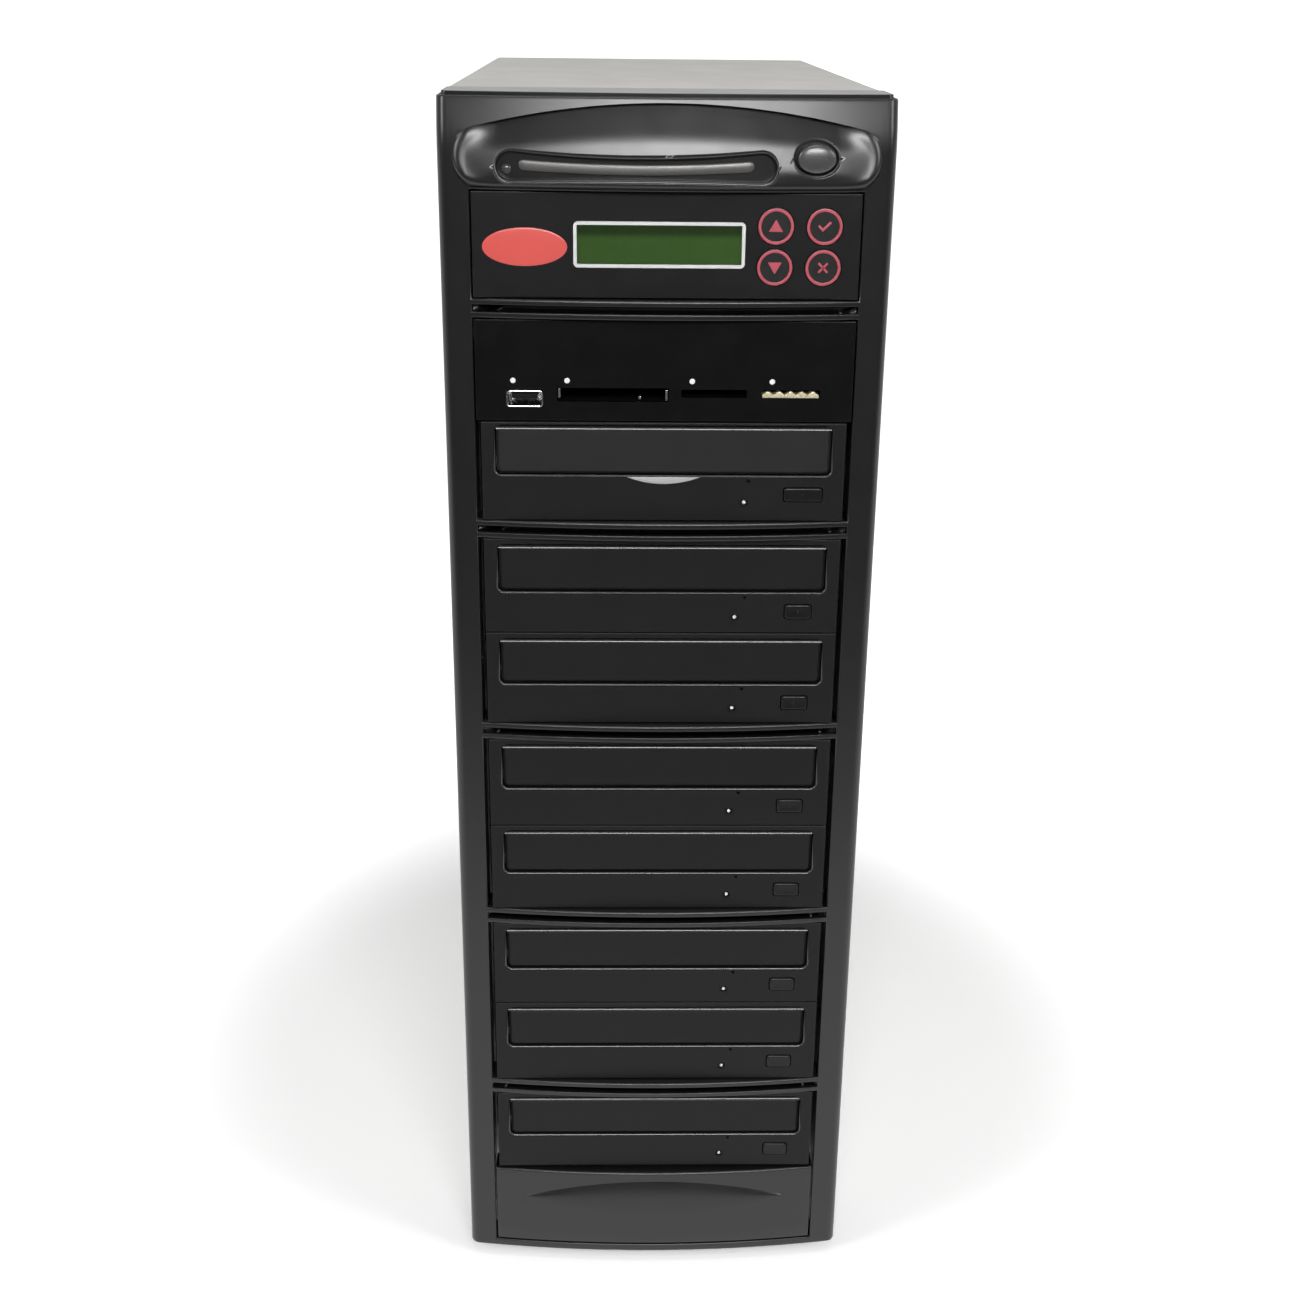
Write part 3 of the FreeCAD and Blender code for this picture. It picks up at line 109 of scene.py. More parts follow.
# Feet: four moulded rubber feet, pushed up and screwed through the base pan.
# Dull black rubber, a little dusty.
rubber = finish("foot_rubber", (0.022, 0.022, 0.023), 0.78, wander=0.25, patch=0.006, gloss=0.06,
                grain=0.0008, relief=0.00006)
dress(rubber, "feet")

# Power supply's inlet, rocker and fans: black nylon mouldings riveted or clipped to the steel.
# The rotors are of the same nylon and turn on steel axles.
nylon = finish("black_nylon", (0.018, 0.018, 0.019), 0.42, wander=0.12, patch=0.008, grain=0.0005,
               relief=0.00002)
dress(nylon, "power_supply_fan", "mains_inlet", "rear_fan_frame", "rear_fan_rotor", "mains_rocker",
      "power_switch")

# Circuit boards: green solder mask over glass cloth and copper, on stand-offs behind the drives and the keys.
# The weave shows as a fine square grid and the copper pour as paler patches.
mask = finish("solder_mask", (0.012, 0.10, 0.045), 0.3, wander=0.3, patch=0.012, relief=0.00002)
tree = mask.node_tree
threads = {"Vector": tree.nodes["Texture Coordinate"].outputs["Object"], "Scale": 300.0}
weave = [node(tree, "TexWave", threads, bands_direction=direction).outputs["Fac"] for direction in "XZ"]
cloth = node(tree, "Math", dict(enumerate(weave)), operation="MULTIPLY")
fill(tree, tree.nodes["Bump"], {"Height": cloth.outputs["Value"]})
dress(mask, "controller_board", "control_board")

# Front moulding: one shell of black plastic with a fine spark-eroded grain, clipped to the chassis.
# Its face bows out 5 mm in the middle; ribs part the windows, and a scooped hood rolls over above them.
bow_radius, bow_centre = 587.725, 395.225
half_width, side_corner, moulding_back = 89.0, 4.5, -151.5
face_half, corner_y = 85.15, -181.85
shell_foot, brow_top, roof_top = 7.0, 541.8, 544.0
window_half, window_lip, jamb_back = 76.5, 0.8, -173.5
windows = np.array([(10.0, 94.7), (102.35, 185.69), (193.34, 276.68), (284.33, 367.67), (375.32, 458.66),
                    (466.31, 508.01)])
groove_half, groove_lip, groove_depth = 1.5, 0.4, 5.0
roll = np.linspace(0, np.pi / 2, 6)


def bow(x, proud):
    """Y of the bowed face: the far side of a circle of bow_radius + proud about the bow's centre."""
    return bow_centre - np.sqrt((bow_radius + proud) ** 2 - np.asarray(x, float) ** 2)


def circle(a, b, c):
    """Centre and radius of the circle through three points in a plane."""
    (ax, az), (bx, bz), (cx, cz) = a, b, c
    system = np.array([[bx - ax, bz - az], [cx - ax, cz - az]])
    right = np.array([bx * bx - ax * ax + bz * bz - az * az, cx * cx - ax * ax + cz * cz - az * az]) / 2
    centre = np.linalg.solve(system, right)
    return centre, math.hypot(ax - centre[0], az - centre[1])


def eased(low, high, count):
    """Places from low to high that crowd towards both ends, as the cosine of even angles."""
    return low + (high - low) * (1 - np.cos(np.linspace(0, np.pi, count))) / 2


def ease(value, low, high):
    """0 below low and 1 above high, with the smooth cubic 3t^2 - 2t^3 between."""
    t = np.clip((value - low) / (high - low), 0, 1)
    return t * t * (3 - 2 * t)


def quarter(t):
    """Height of a quarter round: the square root of 1 - (1 - t)^2, which is 1 beyond t = 1."""
    return np.sqrt(1 - (1 - np.clip(t, 0, 1)) ** 2)


def put(name, body, made, patches, crease=32.0, wall=0.0):
    """One mesh in metres from patches in millimetres: each is a grid of points, rows by columns by XYZ, or a
    pair of a grid and a mask of the cells kept. Doubles are merged, faces turned outwards and edges past
    crease degrees kept sharp; wall is the thickness that Solidify adds behind the surface."""
    points, cells, count = [], [], 0
    for patch in patches:
        grid, kept = patch if isinstance(patch, tuple) else (patch, None)
        rows, columns = grid.shape[:2]
        at = count + np.arange(rows * columns).reshape(rows, columns)
        quads = np.stack([at[:-1, :-1], at[:-1, 1:], at[1:, 1:], at[1:, :-1]], -1)
        cells.append(quads.reshape(-1, 4) if kept is None else quads[kept])
        points.append(grid.reshape(-1, 3))
        count += rows * columns
    mesh = bpy.data.meshes.new(name)
    mesh.from_pydata((np.concatenate(points) * 0.001).tolist(), [], np.concatenate(cells).tolist())
    work = bmesh.new()
    work.from_mesh(mesh)
    bmesh.ops.remove_doubles(work, verts=work.verts, dist=3e-6)
    loose = [v for v in work.verts if not v.link_faces]
    bmesh.ops.delete(work, geom=loose, context="VERTS")
    bmesh.ops.recalc_face_normals(work, faces=work.faces)
    middle = sum((f.calc_center_median() for f in work.faces), Vector()) / len(work.faces)
    if sum(f.calc_area() * f.normal.dot(f.calc_center_median() - middle) for f in work.faces) < 0:
        bmesh.ops.reverse_faces(work, faces=work.faces)
    work.to_mesh(mesh)
    work.free()
    mesh.polygons.foreach_set("use_smooth", np.ones(len(mesh.polygons), bool))
    mesh.set_sharp_from_angle(angle=math.radians(crease))
    mesh.materials.append(made)
    piece = bpy.data.objects.new(name, mesh)
    bpy.context.scene.collection.objects.link(piece)
    if wall:
        solid = piece.modifiers.new("wall", "SOLIDIFY")
        solid.thickness = wall * 0.001
        solid.offset = -1
    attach(piece, body)
    return piece


def upright_loop(x, z, y):
    """A grid's points from arrays of X, Z and Y of one shape."""
    return np.stack([np.broadcast_to(x, z.shape), np.broadcast_to(y, z.shape), z], -1)


def closed(rows):
    """Rows of points round a loop, each joined up with its first point."""
    return np.concatenate([rows, rows[:, :1]], 1)


def rim_path(xs, zs, half, low, high):
    """X and Z once round an oblong: rightwards along low, up, back along high and down."""
    return (np.hstack([xs, np.full(len(zs), half), xs[::-1], np.full(len(zs), -half)]),
            np.hstack([np.full(len(xs), low), zs, np.full(len(xs), high), zs[::-1]]))


def between(low, high, shares):
    """Rows of heights from low to high, as shares of the way."""
    return low + (high - low) * np.asarray(shares)[:, None]


# Hood: a foot line, an arch above it and a round end at each side, with a slot and a ring for the button.
# Above the nose the face leans back. The scoop lies under the leaning face, and a knob stands at each end.
hood_foot, hood_round, hood_proud, hood_recess, nose_z = 509.01, 2.4, 3.0, 2.6, 513.0
foot_half, arch_half, hood_half = 76.5, 77.0, 83.0
arch_ends, arch_top, tip_z = 530.8, 540.6, 519.905
lean, lean_z, lean_run, lean_depth = 0.27, 520.0, 16.0, 30.0
knob_near, knob_far, knob_fall, knob_round, rim_round = 64.0, 79.0, 0.2, 3.0, 4.0
ridge_rise, ridge_inset, ridge_width = 0.4, 2.0, 2.5
slot_low, slot_left, slot_right = 510.61, -66.4, 42.4
slot_end, slot_mid, slot_bow, slot_lip, lip_gain, slot_sunk = 12.6, 9.2, 0.9, 0.5, 0.9, 1.0
slot_radius = slot_end / 2
ring_x, ring_z, ring_half_x, ring_half_z, ring_sunk = 57.0, 520.81, 9.15, 7.0, 1.5
bore_half_x, bore_half_z, bore_sunk = 8.0, 5.85, 6.0
arch_centre, arch_radius = circle((-arch_half, arch_ends), (0, arch_top), (arch_half, arch_ends))
end_centre, end_radius = circle((foot_half, hood_foot), (hood_half, tip_z), (arch_half, arch_ends))


def hood_outline(x):
    """Z of the hood's lower and upper outline: the foot or the end arc, and the arch or the end arc."""
    x = np.minimum(np.abs(x), hood_half)
    end = np.sqrt(np.maximum(end_radius ** 2 - (x - end_centre[0]) ** 2, 0))
    low = np.where(x <= foot_half, hood_foot, end_centre[1] - end)
    arch = arch_centre[1] + np.sqrt(arch_radius ** 2 - np.minimum(x, arch_half) ** 2)
    high = np.where(x <= arch_half, arch, end_centre[1] + end)
    return low, np.where(x >= hood_half, low, high)


def hole_outline(x):
    """Z of the lower and upper edge of the holes: the slot's arcs with round ends, the ring's ellipse, and
    between them one line that leads from hole to hole and out to the hood's ends."""
    middle, half = (slot_left + slot_right) / 2, (slot_right - slot_left) / 2 - slot_radius
    left, right, slot_z = middle - half, middle + half, slot_low + slot_radius
    top_centre, top_radius = circle((left, slot_low + slot_end), (middle, slot_low + slot_mid + slot_bow),
                                    (right, slot_low + slot_end))
    foot_centre, foot_radius = circle((left, slot_low), (middle, slot_low + slot_bow), (right, slot_low))
    inside = np.abs(x - middle) < half
    round_end = np.sqrt(slot_radius ** 2 - np.clip(np.abs(x - middle) - half, 0, slot_radius) ** 2)
    low = np.where(inside, foot_centre[1] + np.sqrt(foot_radius ** 2 - (x - foot_centre[0]) ** 2),
                   slot_z - round_end)
    high = np.where(inside, top_centre[1] - np.sqrt(top_radius ** 2 - (x - top_centre[0]) ** 2),
                    slot_z + round_end)
    lead = np.interp(x, [-hood_half, slot_left, slot_right, ring_x - ring_half_x, ring_x + ring_half_x,
                         hood_half], [tip_z, slot_z, slot_z, ring_z, ring_z, tip_z])
    in_slot = (x > slot_left) & (x < slot_right)
    in_ring = np.abs(x - ring_x) < ring_half_x
    oval = ring_half_z * np.sqrt(np.maximum(1 - ((x - ring_x) / ring_half_x) ** 2, 0))
    low = np.where(in_slot, low, np.where(in_ring, ring_z - oval, lead))
    high = np.where(in_slot, high, np.where(in_ring, ring_z + oval, lead))
    return low, high


def set_back(z):
    """How far the face leans back: its slope grows smoothly from none at lean_z to lean over the height
    lean_run, which makes lean_run (t^3 - t^4 / 2) of that slope, and stays so above."""
    t = np.clip((z - lean_z) / lean_run, 0, 1)
    return lean * (lean_run * (t ** 3 - t ** 4 / 2) + np.maximum(z - lean_z - lean_run, 0))


def hood_height(x, z):
    """How proud the hood stands of the leaning face at x, z: a quarter round over its foot, then a scoop
    whose slope grows smoothly over the nose, stays even above the slot and steepens to the arch, where it
    lies hood_recess under the face. At the ends the nose rolls back into a knob with a low ridge along its
    rim."""
    low, high = hood_outline(x)
    way = np.linspace(0, 1, 101)
    slope = ease(way, 0.0, 0.22) * np.interp(way, [0, 0.42, 0.62, 1], [0.5, 0.52, 1.0, 1.0])
    fall = np.cumsum(slope) / slope.sum()
    v = np.clip((z - nose_z) / np.maximum(high - nose_z, 1), 0, 1)
    drop = hood_proud + hood_recess + set_back(high)
    middle = hood_proud - drop * np.interp(v, way, fall) + set_back(z)
    over_foot = hood_round * quarter((z - hood_foot) / hood_round)
    middle = np.minimum(middle, hood_proud - hood_round + over_foot)
    rim = end_radius - np.hypot(np.maximum(np.abs(x) - end_centre[0], 0), z - end_centre[1])
    ridge = ridge_rise * np.exp(-((rim - ridge_inset) / ridge_width) ** 2)
    knob = hood_proud - knob_fall * np.maximum(z - nose_z, 0) + set_back(z) + ridge
    knob = knob * quarter(rim / rim_round) * quarter((z - low) / knob_round)
    return middle + (knob - middle) * ease(np.abs(x), knob_near, knob_far)


slot_end_xs = slot_radius * (1 - np.cos(np.linspace(0, np.pi / 2, 17)))
end_turns = np.linspace(math.asin((foot_half - end_centre[0]) / end_radius), np.pi / 2, 13)
hood_xs = np.hstack([end_centre[0] + end_radius * np.sin(end_turns), np.linspace(68, foot_half, 9),
                          [window_half + groove_lip, arch_half, window_half + window_lip, 84.1, face_half]])
hole_xs = np.hstack([slot_left + slot_end_xs, slot_right - slot_end_xs,
                          np.linspace(slot_left + slot_radius, slot_right - slot_radius, 41),
                          eased(ring_x - ring_half_x, ring_x + ring_half_x, 37),
                          np.linspace(slot_right, ring_x - ring_half_x, 5)])
face_xs = np.unique(np.round(np.hstack([hood_xs, -hood_xs, hole_xs]), 6))
turn = math.atan2(face_half, math.sqrt(bow_radius ** 2 - face_half ** 2))
turns = np.linspace(turn, np.pi / 2, 9)[1:]
side_ys = np.linspace(corner_y, moulding_back, 5)[1:]
flank_x = np.hstack([half_width - side_corner + side_corner * np.sin(turns), np.full(4, half_width)])
flank_y = np.hstack([corner_y - side_corner * np.cos(turns), side_ys])
flank_nx = np.hstack([np.sin(turns), np.ones(4)])
flank_ny = np.hstack([-np.cos(turns), np.zeros(4)])
plan_x = np.hstack([-flank_x[::-1], face_xs, flank_x])
plan_y = np.hstack([flank_y[::-1], bow(face_xs, 0), flank_y])
plan_nx = np.hstack([-flank_nx[::-1], face_xs / bow_radius, flank_nx])
plan_ny = np.hstack([flank_ny[::-1], (bow(face_xs, 0) - bow_centre) / bow_radius, flank_ny])


def around(z, proud):
    """The plan's path at heights z, moved out along its own normal by proud, and set back with the lean over
    the foremost lean_depth."""
    z, proud, _ = np.broadcast_arrays(np.asarray(z, float), np.asarray(proud, float), plan_x)
    forward = np.clip((moulding_back - plan_y) / lean_depth, 0, 1)
    return np.stack([plan_x + proud * plan_nx, plan_y + proud * plan_ny + set_back(z) * forward, z], -1)


rib_middles = (windows[:-1, 1] + windows[1:, 0]) / 2
grooves = np.stack([rib_middles - groove_half - groove_lip, rib_middles + groove_half + groove_lip], -1)
face_zs = np.unique(np.round(np.hstack([
    [shell_foot], (windows + [[-window_lip, window_lip]]).ravel(), grooves.ravel(), [hood_foot],
    np.linspace(windows[:, 0], windows[:, 1], 7)[1:-1].ravel()]), 6))
face_zs = face_zs[face_zs <= hood_foot + 1e-6]
mid_x = (plan_x[:-1] + plan_x[1:]) / 2
mid_z = (face_zs[:-1] + face_zs[1:]) / 2
solid = np.ones((len(mid_z), len(mid_x)), bool)
moulding = []


def cut(low, high, half, lip, back):
    """Cut an oblong hole in the face and wall it: the rim runs along the face's own lines, turns in by a
    quarter round of lip and goes straight back to the plane back, or back by that depth where it is
    positive."""
    solid[((mid_z > low) & (mid_z < high))[:, None] & (np.abs(mid_x) < half)] = False
    zs = face_zs[(face_zs >= low - 1e-6) & (face_zs <= high + 1e-6)]
    rim_x, rim_z = rim_path(face_xs[np.abs(face_xs) <= half + 1e-6], zs, half, low, high)
    loops = []
    for t in roll:
        inset, sunk = lip * math.sin(t), lip * (1 - math.cos(t))
        x = np.clip(rim_x, -half + inset, half - inset)
        z = np.clip(rim_z, low + inset, high - inset)
        loops.append(np.stack([x, bow(x, -sunk), z], -1))
    last = loops[-1].copy()
    last[:, 1] = back if back < 0 else bow(last[:, 0], -back)
    moulding.append(np.stack(loops + [last]))


for low, high in windows:
    cut(low - window_lip, high + window_lip, window_half + window_lip, window_lip, jamb_back)
floor_xs = np.linspace(-window_half, window_half, 25)
for low, high in grooves:
    cut(low, high, window_half + groove_lip, groove_lip, groove_depth)
    floor_z = np.array([low + groove_lip, high - groove_lip])[:, None] + 0 * floor_xs
    moulding.append(upright_loop(floor_xs, floor_z, bow(floor_xs, -groove_depth)))
moulding.append((around(face_zs[:, None], 0.0), solid))

hood_low, hood_high = hood_outline(plan_x)
flank = np.abs(plan_x) >= hood_half
hole_low, hole_high = (np.where(flank, hood_low, edge)
                       for edge in hole_outline(np.clip(plan_x, -hood_half, hood_half)))
steps = np.linspace(0, 1, 17)
inner = ~(flank[:-1] & flank[1:])[None, :]


def hood_rows(z, foot=1.0):
    """Rows of the hood's skin at heights z, with the first row brought down to foot times its height."""
    proud = np.where(flank, 0, hood_height(plan_x, z))
    proud[0] *= foot
    return around(z, proud), np.repeat(inner, len(z) - 1, 0)


moulding += [around(between(hood_foot, hood_low, np.linspace(0, 1, 7)), 0.0),
             hood_rows(between(hood_low, hole_low, steps ** 1.7)),
             hood_rows(between(hole_high, hood_high, steps)),
             around(between(hood_high, brow_top, np.linspace(0, 1, 9)), 0.0)]
moulding += [hood_rows(np.stack([edge, edge]), foot=0.0) for edge in (hood_low, hood_high)]

# Holes in the hood: the slot's rim turns in by a quarter round and drops to a floor, and so does the ring's.
# Both stay open at the same lines as the hood's skin, so the shell is one closed surface.


def hole_rim(inside, floor_proud):
    """Walls of a hole that follows the skin's lines: the lower edge rightwards, then the upper edge back.
    Each point moves along the outline's own inward normal by the lip and sinks to floor_proud. The lip is
    wide where the wall looks up and narrow where it looks down."""
    xs = plan_x[inside]
    x = np.hstack([xs, xs[-2:0:-1]])
    z = np.hstack([hole_low[inside], hole_high[inside][-2:0:-1]])
    dx, dz = np.roll(x, -1) - np.roll(x, 1), np.roll(z, -1) - np.roll(z, 1)
    length = np.maximum(np.hypot(dx, dz), 1e-6)
    in_x, in_z = -dz / length, dx / length
    lip = slot_lip + lip_gain * np.clip(in_z, 0, 1)
    loops = []
    for t in np.linspace(0, np.pi / 2, 7):
        px, pz = x + lip * math.sin(t) * in_x, z + lip * math.sin(t) * in_z
        proud = hood_height(px, pz) - lip * (1 - math.cos(t))
        loops.append(np.stack([px, bow(px, proud) + set_back(pz), pz], -1))
    floor = loops[-1].copy()
    floor[:, 1] = bow(floor[:, 0], floor_proud)
    return closed(np.stack(loops + [floor])), floor


in_slot = (plan_x >= slot_left - 1e-6) & (plan_x <= slot_right + 1e-6)
slot_walls, slot_floor = hole_rim(in_slot, -slot_sunk)
half_count = len(slot_floor) // 2
low_edge = slot_floor[:half_count + 1]
high_edge = np.vstack([slot_floor[half_count:], slot_floor[:1]])[::-1]
slot_bed = low_edge + (high_edge - low_edge) * np.linspace(0, 1, 5)[:, None, None]
slot_bed[..., 1] = bow(slot_bed[..., 0], -slot_sunk)
moulding += [slot_walls, slot_bed]

in_ring = np.abs(plan_x - ring_x) <= ring_half_x + 1e-6
ring_walls, ring_floor = hole_rim(in_ring, -ring_sunk)
angle = np.arctan2((ring_floor[:, 2] - ring_z) / ring_half_z, (ring_floor[:, 0] - ring_x) / ring_half_x)
bore_x, bore_z = ring_x + bore_half_x * np.cos(angle), ring_z + bore_half_z * np.sin(angle)
bore = [np.stack([bore_x, bow(bore_x, -sunk), bore_z], -1) for sunk in (ring_sunk, bore_sunk)]
moulding += [ring_walls, closed(np.stack([ring_floor] + bore))]

# Top and foot of the moulding: the face rolls over into a narrow groove, a low riser and a flat roof.
# At the foot it rolls under and back.
brow_round, groove_z, riser_lip = 0.8, brow_top + 0.1, 0.15
top_rows = [around(brow_top + brow_round * math.sin(t), -brow_round * (1 - math.cos(t))) for t in roll]
top_rows += [around(brow_top + brow_round, -1.0), around(groove_z, -1.1), around(groove_z, -1.9)]
top_rows += [top_rows[-1] + [0, 0, roof_top - riser_lip - groove_z],
             top_rows[-1] + [0, riser_lip, roof_top - groove_z]]
roof = top_rows[-1].copy()
roof[:, 1] = moulding_back
foot_rows = [around(shell_foot - math.sin(t), math.cos(t) - 1) for t in roll] + [around(shell_foot - 1, -3.5)]
moulding += [np.stack(top_rows + [roof]), np.stack(foot_rows)]

plastic = finish("bezel_plastic", (0.006, 0.006, 0.0068), 0.31, wander=0.10, patch=0.04, gloss=0.02,
                 grain=0.0005, relief=0.0000025, shine_level=0.7)
shell = put("front_moulding", "root", plastic, moulding, crease=42.0, wall=0.7)
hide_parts("front_bezel")

# Lower cover: a loose panel of the same plastic, snapped in under the lowest drive.
# A lens-shaped dish in its middle takes two fingers to pull it out.
cover_half, cover_foot, cover_top, cover_lip, cover_back = 76.0, 10.5, 51.7, 1.0, -176.0
cover_side, cover_low, cover_high = cover_half - cover_lip, cover_foot + cover_lip, cover_top - cover_lip
grip_half, grip_middle, grip_rise, grip_depth = 62.0, 36.7, 10.3, 4.6
grip_centre, grip_radius = circle((-grip_half, grip_middle), (0, grip_middle + grip_rise),
                                  (grip_half, grip_middle))
beside = np.linspace(grip_half, cover_side, 6)
cover_xs = np.unique(np.round(np.hstack([eased(-grip_half, grip_half, 61), beside, -beside]), 6))
arc = grip_centre[1] + np.sqrt(grip_radius ** 2 - cover_xs ** 2) - grip_middle
lens = np.where(np.abs(cover_xs) < grip_half, arc, 0)
foot_zs = between(cover_low, grip_middle - lens, np.linspace(0, 1, 5))
dish_zs = between(grip_middle - lens, grip_middle + lens, steps)
head_zs = between(grip_middle + lens, cover_high, np.linspace(0, 1, 5))
dish = grip_depth * steps[:, None] ** 2.2 * (lens / grip_rise) ** 0.7
flat_y = bow(cover_xs, 0)
cover_rows = [upright_loop(cover_xs, foot_zs, flat_y), upright_loop(cover_xs, dish_zs, bow(cover_xs, -dish)),
              upright_loop(cover_xs, head_zs, flat_y),
              upright_loop(cover_xs, dish_zs[[-1, -1]], np.stack([bow(cover_xs, -dish[-1]), flat_y]))]
rim_x, rim_z = rim_path(cover_xs, np.hstack([foot_zs[:, 0], head_zs[:, 0]]), cover_side, cover_low,
                        cover_high)
cover_edge = []
for t in roll:
    out, sunk = cover_lip * math.sin(t), cover_lip * (1 - math.cos(t))
    x = rim_x + out * np.sign(rim_x) * (np.abs(rim_x) > cover_side - 0.01)
    z = rim_z + out * ((rim_z > cover_high - 1e-4) * 1.0 - (rim_z < cover_low + 1e-4))
    cover_edge.append(np.stack([x, bow(x, -sunk), z], -1))
back = cover_edge[-1].copy()
back[:, 1] = cover_back
cover_rows.append(closed(np.stack(cover_edge + [back])))
cover = put("finger_grip_cover", "root", plastic, cover_rows, wall=0.7)
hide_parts("lower_cover")

# Drives: each has a moulded front plate, a drawer and a button, finer in grain than the front moulding.
# The reading drive's drawer is a little paler than those of the seven writers.
drive_plastic = finish("drive_plastic", (0.011, 0.011, 0.0114), 0.40, gloss=0.03, shine_level=0.2)
reader_plastic = finish("reader_plastic", (0.0165, 0.0165, 0.017), 0.40, gloss=0.03, shine_level=0.3)
writer_levels = [326.17, 284.53, 235.18, 193.54, 144.19, 102.55, 53.2]
writers = {"writer_%d" % number: level for number, level in enumerate(writer_levels, 1)}
reader_level = 375.52
for name in writers:
    dress(drive_plastic, name + "_bezel", name + "_tray")
dress(drive_plastic, "reader_bezel")
dress(reader_plastic, "reader_tray")

# Eject buttons: small rounded caps that stand 0.7 out of each drive's front, on stems that reach the drive's
# switch. Moulded in a shinier plastic, with a small round dot raised in the middle.
button_plastic = finish("button_plastic", (0.006, 0.006, 0.0064), 0.33, wander=0.06, patch=0.01, gloss=0.02,
                        relief=0.000002, shine_level=0.35)
face_y, eject_x, eject_proud, eject_dish, eject_depth, stem_depth = -188.0, 57.5, 0.7, 0.1, 5.3, 10.3


def rounded_outline(x, z, half_x, half_z, radius, turns=7):
    """A rounded rectangle's closed outline about x, z, and its spine: each point moved straight to the middle
    line of the longer direction."""
    bend = np.linspace(0, np.pi / 2, turns)
    corner = np.hstack([bend + quarter_turn * np.pi / 2 for quarter_turn in range(4)])
    side_x = np.repeat([1, -1, -1, 1], turns) * (half_x - radius)
    side_z = np.repeat([1, 1, -1, -1], turns) * (half_z - radius)
    edge = np.stack([x + side_x + radius * np.cos(corner), z + side_z + radius * np.sin(corner)], -1)
    edge = np.vstack([edge, edge[:1]])
    reach = max(half_x - half_z, 0), max(half_z - half_x, 0)
    spine = np.stack([np.clip(edge[:, 0], x - reach[0], x + reach[0]),
                      np.clip(edge[:, 1], z - reach[1], z + reach[1])], -1)
    return edge, spine


def oval_outline(x, z, halves, count):
    """A closed outline about x, z of a circle with one half width or an ellipse with two, and its spine,
    which is the middle itself."""
    half_x, half_z = np.broadcast_to(halves, 2)
    angle = np.linspace(0, 2 * np.pi, count)
    edge = np.stack([x + half_x * np.cos(angle), z + half_z * np.sin(angle)], -1)
    edge[-1] = edge[0]
    return edge, np.broadcast_to([x, z], edge.shape)


def cap_rows(outline, back, front, shares=(0, 1), rises=(0, 0)):
    """Rows of a closed cap: from the spine at back out to the edge, forward to front, and in again by shares
    of the way to the spine, each standing forward of front by its rise, or flat where none is given. Front
    is a Y, or gives one from X."""
    edge, spine = outline
    at = edge + (spine - edge) * np.hstack([[1, 0], shares])[:, None, None]
    level = front(at[..., 0]) if callable(front) else np.full(at.shape[:2], front)
    y = level - np.hstack([[0, 0], rises])[:, None]
    y[:2] = back
    return np.stack([at[..., 0], y, at[..., 1]], -1)


def dome(rise, steps=9):
    """Shares and rises of a dome: a quarter ellipse from the edge to the spine."""
    t = np.linspace(0, np.pi / 2, steps)
    return 1 - np.cos(t), rise * np.sin(t)


def slab(lip, width, dish=0.0):
    """Shares and rises of a flat cap, width from edge to spine, with a quarter round of lip and a dish."""
    inner = np.linspace(lip / width, 1, 5)[1:]
    way = (inner * width - lip) / (width - lip)
    return (np.hstack([lip / width * (1 - np.cos(roll)), inner]),
            np.hstack([lip * np.sin(roll), lip - dish * way * (2 - way)]))


def eject_button(name, z, half_x, half_z):
    """One button: a dished slab, a stem behind it, and a small round dot in its middle."""
    dot_y = face_y - eject_proud + eject_dish
    rows = [cap_rows(rounded_outline(eject_x, z, half_x, half_z, 1.2), face_y + eject_depth, face_y,
                     *slab(eject_proud, half_z, eject_dish)),
            cap_rows(rounded_outline(eject_x, z, 1.5, 1.5, 0.1, 2), face_y + stem_depth,
                     face_y + eject_depth),
            cap_rows(oval_outline(eject_x, z, 0.55, 17), dot_y + 0.1, dot_y, *dome(0.1, 4))]
    piece = put(name + "_cap", name, button_plastic, rows)
    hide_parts(name)


for name, level in writers.items():
    eject_button(name + "_eject", level + 9.5, 5.6, 3.1)
eject_button("reader_eject", reader_level + 11.3, 7.9, 2.85)

# Drawer edges: the top edge of each drawer is rounded, in a glossier plastic whose paler colour is a painted
# highlight.
# A quarter round fills the drawer's chamfer from side to side and slides with the drawer.
drawer_half, drawer_height, drawer_chamfer, edge_root = 68.25, 19.7, 1.3, 0.4
writer_drawer_z, reader_drawer_z = 38.16, 39.4
# Paler than the drive plastic: a painted highlight along the drawers' edges and surrounds.
highlight_plastic = finish("painted_highlight_edge", (0.02, 0.02, 0.0205), 0.26, patch=0.02, gloss=0.02, relief=0.000003,
                      shine_level=0.9)
drawer_tops = [(name + "_tray", level + writer_drawer_z) for name, level in writers.items()]
drawer_tops.append(("reader_tray", reader_level + reader_drawer_z))
bead_turns = np.hstack([np.linspace(0, np.pi / 2, 9), [-0.5]])[:, None]
bead_x = drawer_half - drawer_chamfer * np.array([1, 0.5, 0, 0, 0, 0.5, 1])
bead_x = bead_x * np.array([-1, -1, -1, 0, 1, 1, 1])
thin = np.array([0.0, 0.7, 1.0, 1.0, 1.0, 0.7, 0.0]) * np.where(bead_turns >= 0, drawer_chamfer, edge_root)
for tray, top in drawer_tops:
    bead = upright_loop(bead_x, top - drawer_chamfer + thin * np.sin(bead_turns),
                        face_y + drawer_chamfer - thin * np.cos(bead_turns))
    put(tray + "_edge", tray, highlight_plastic, [np.vstack([bead, bead[:1]])])
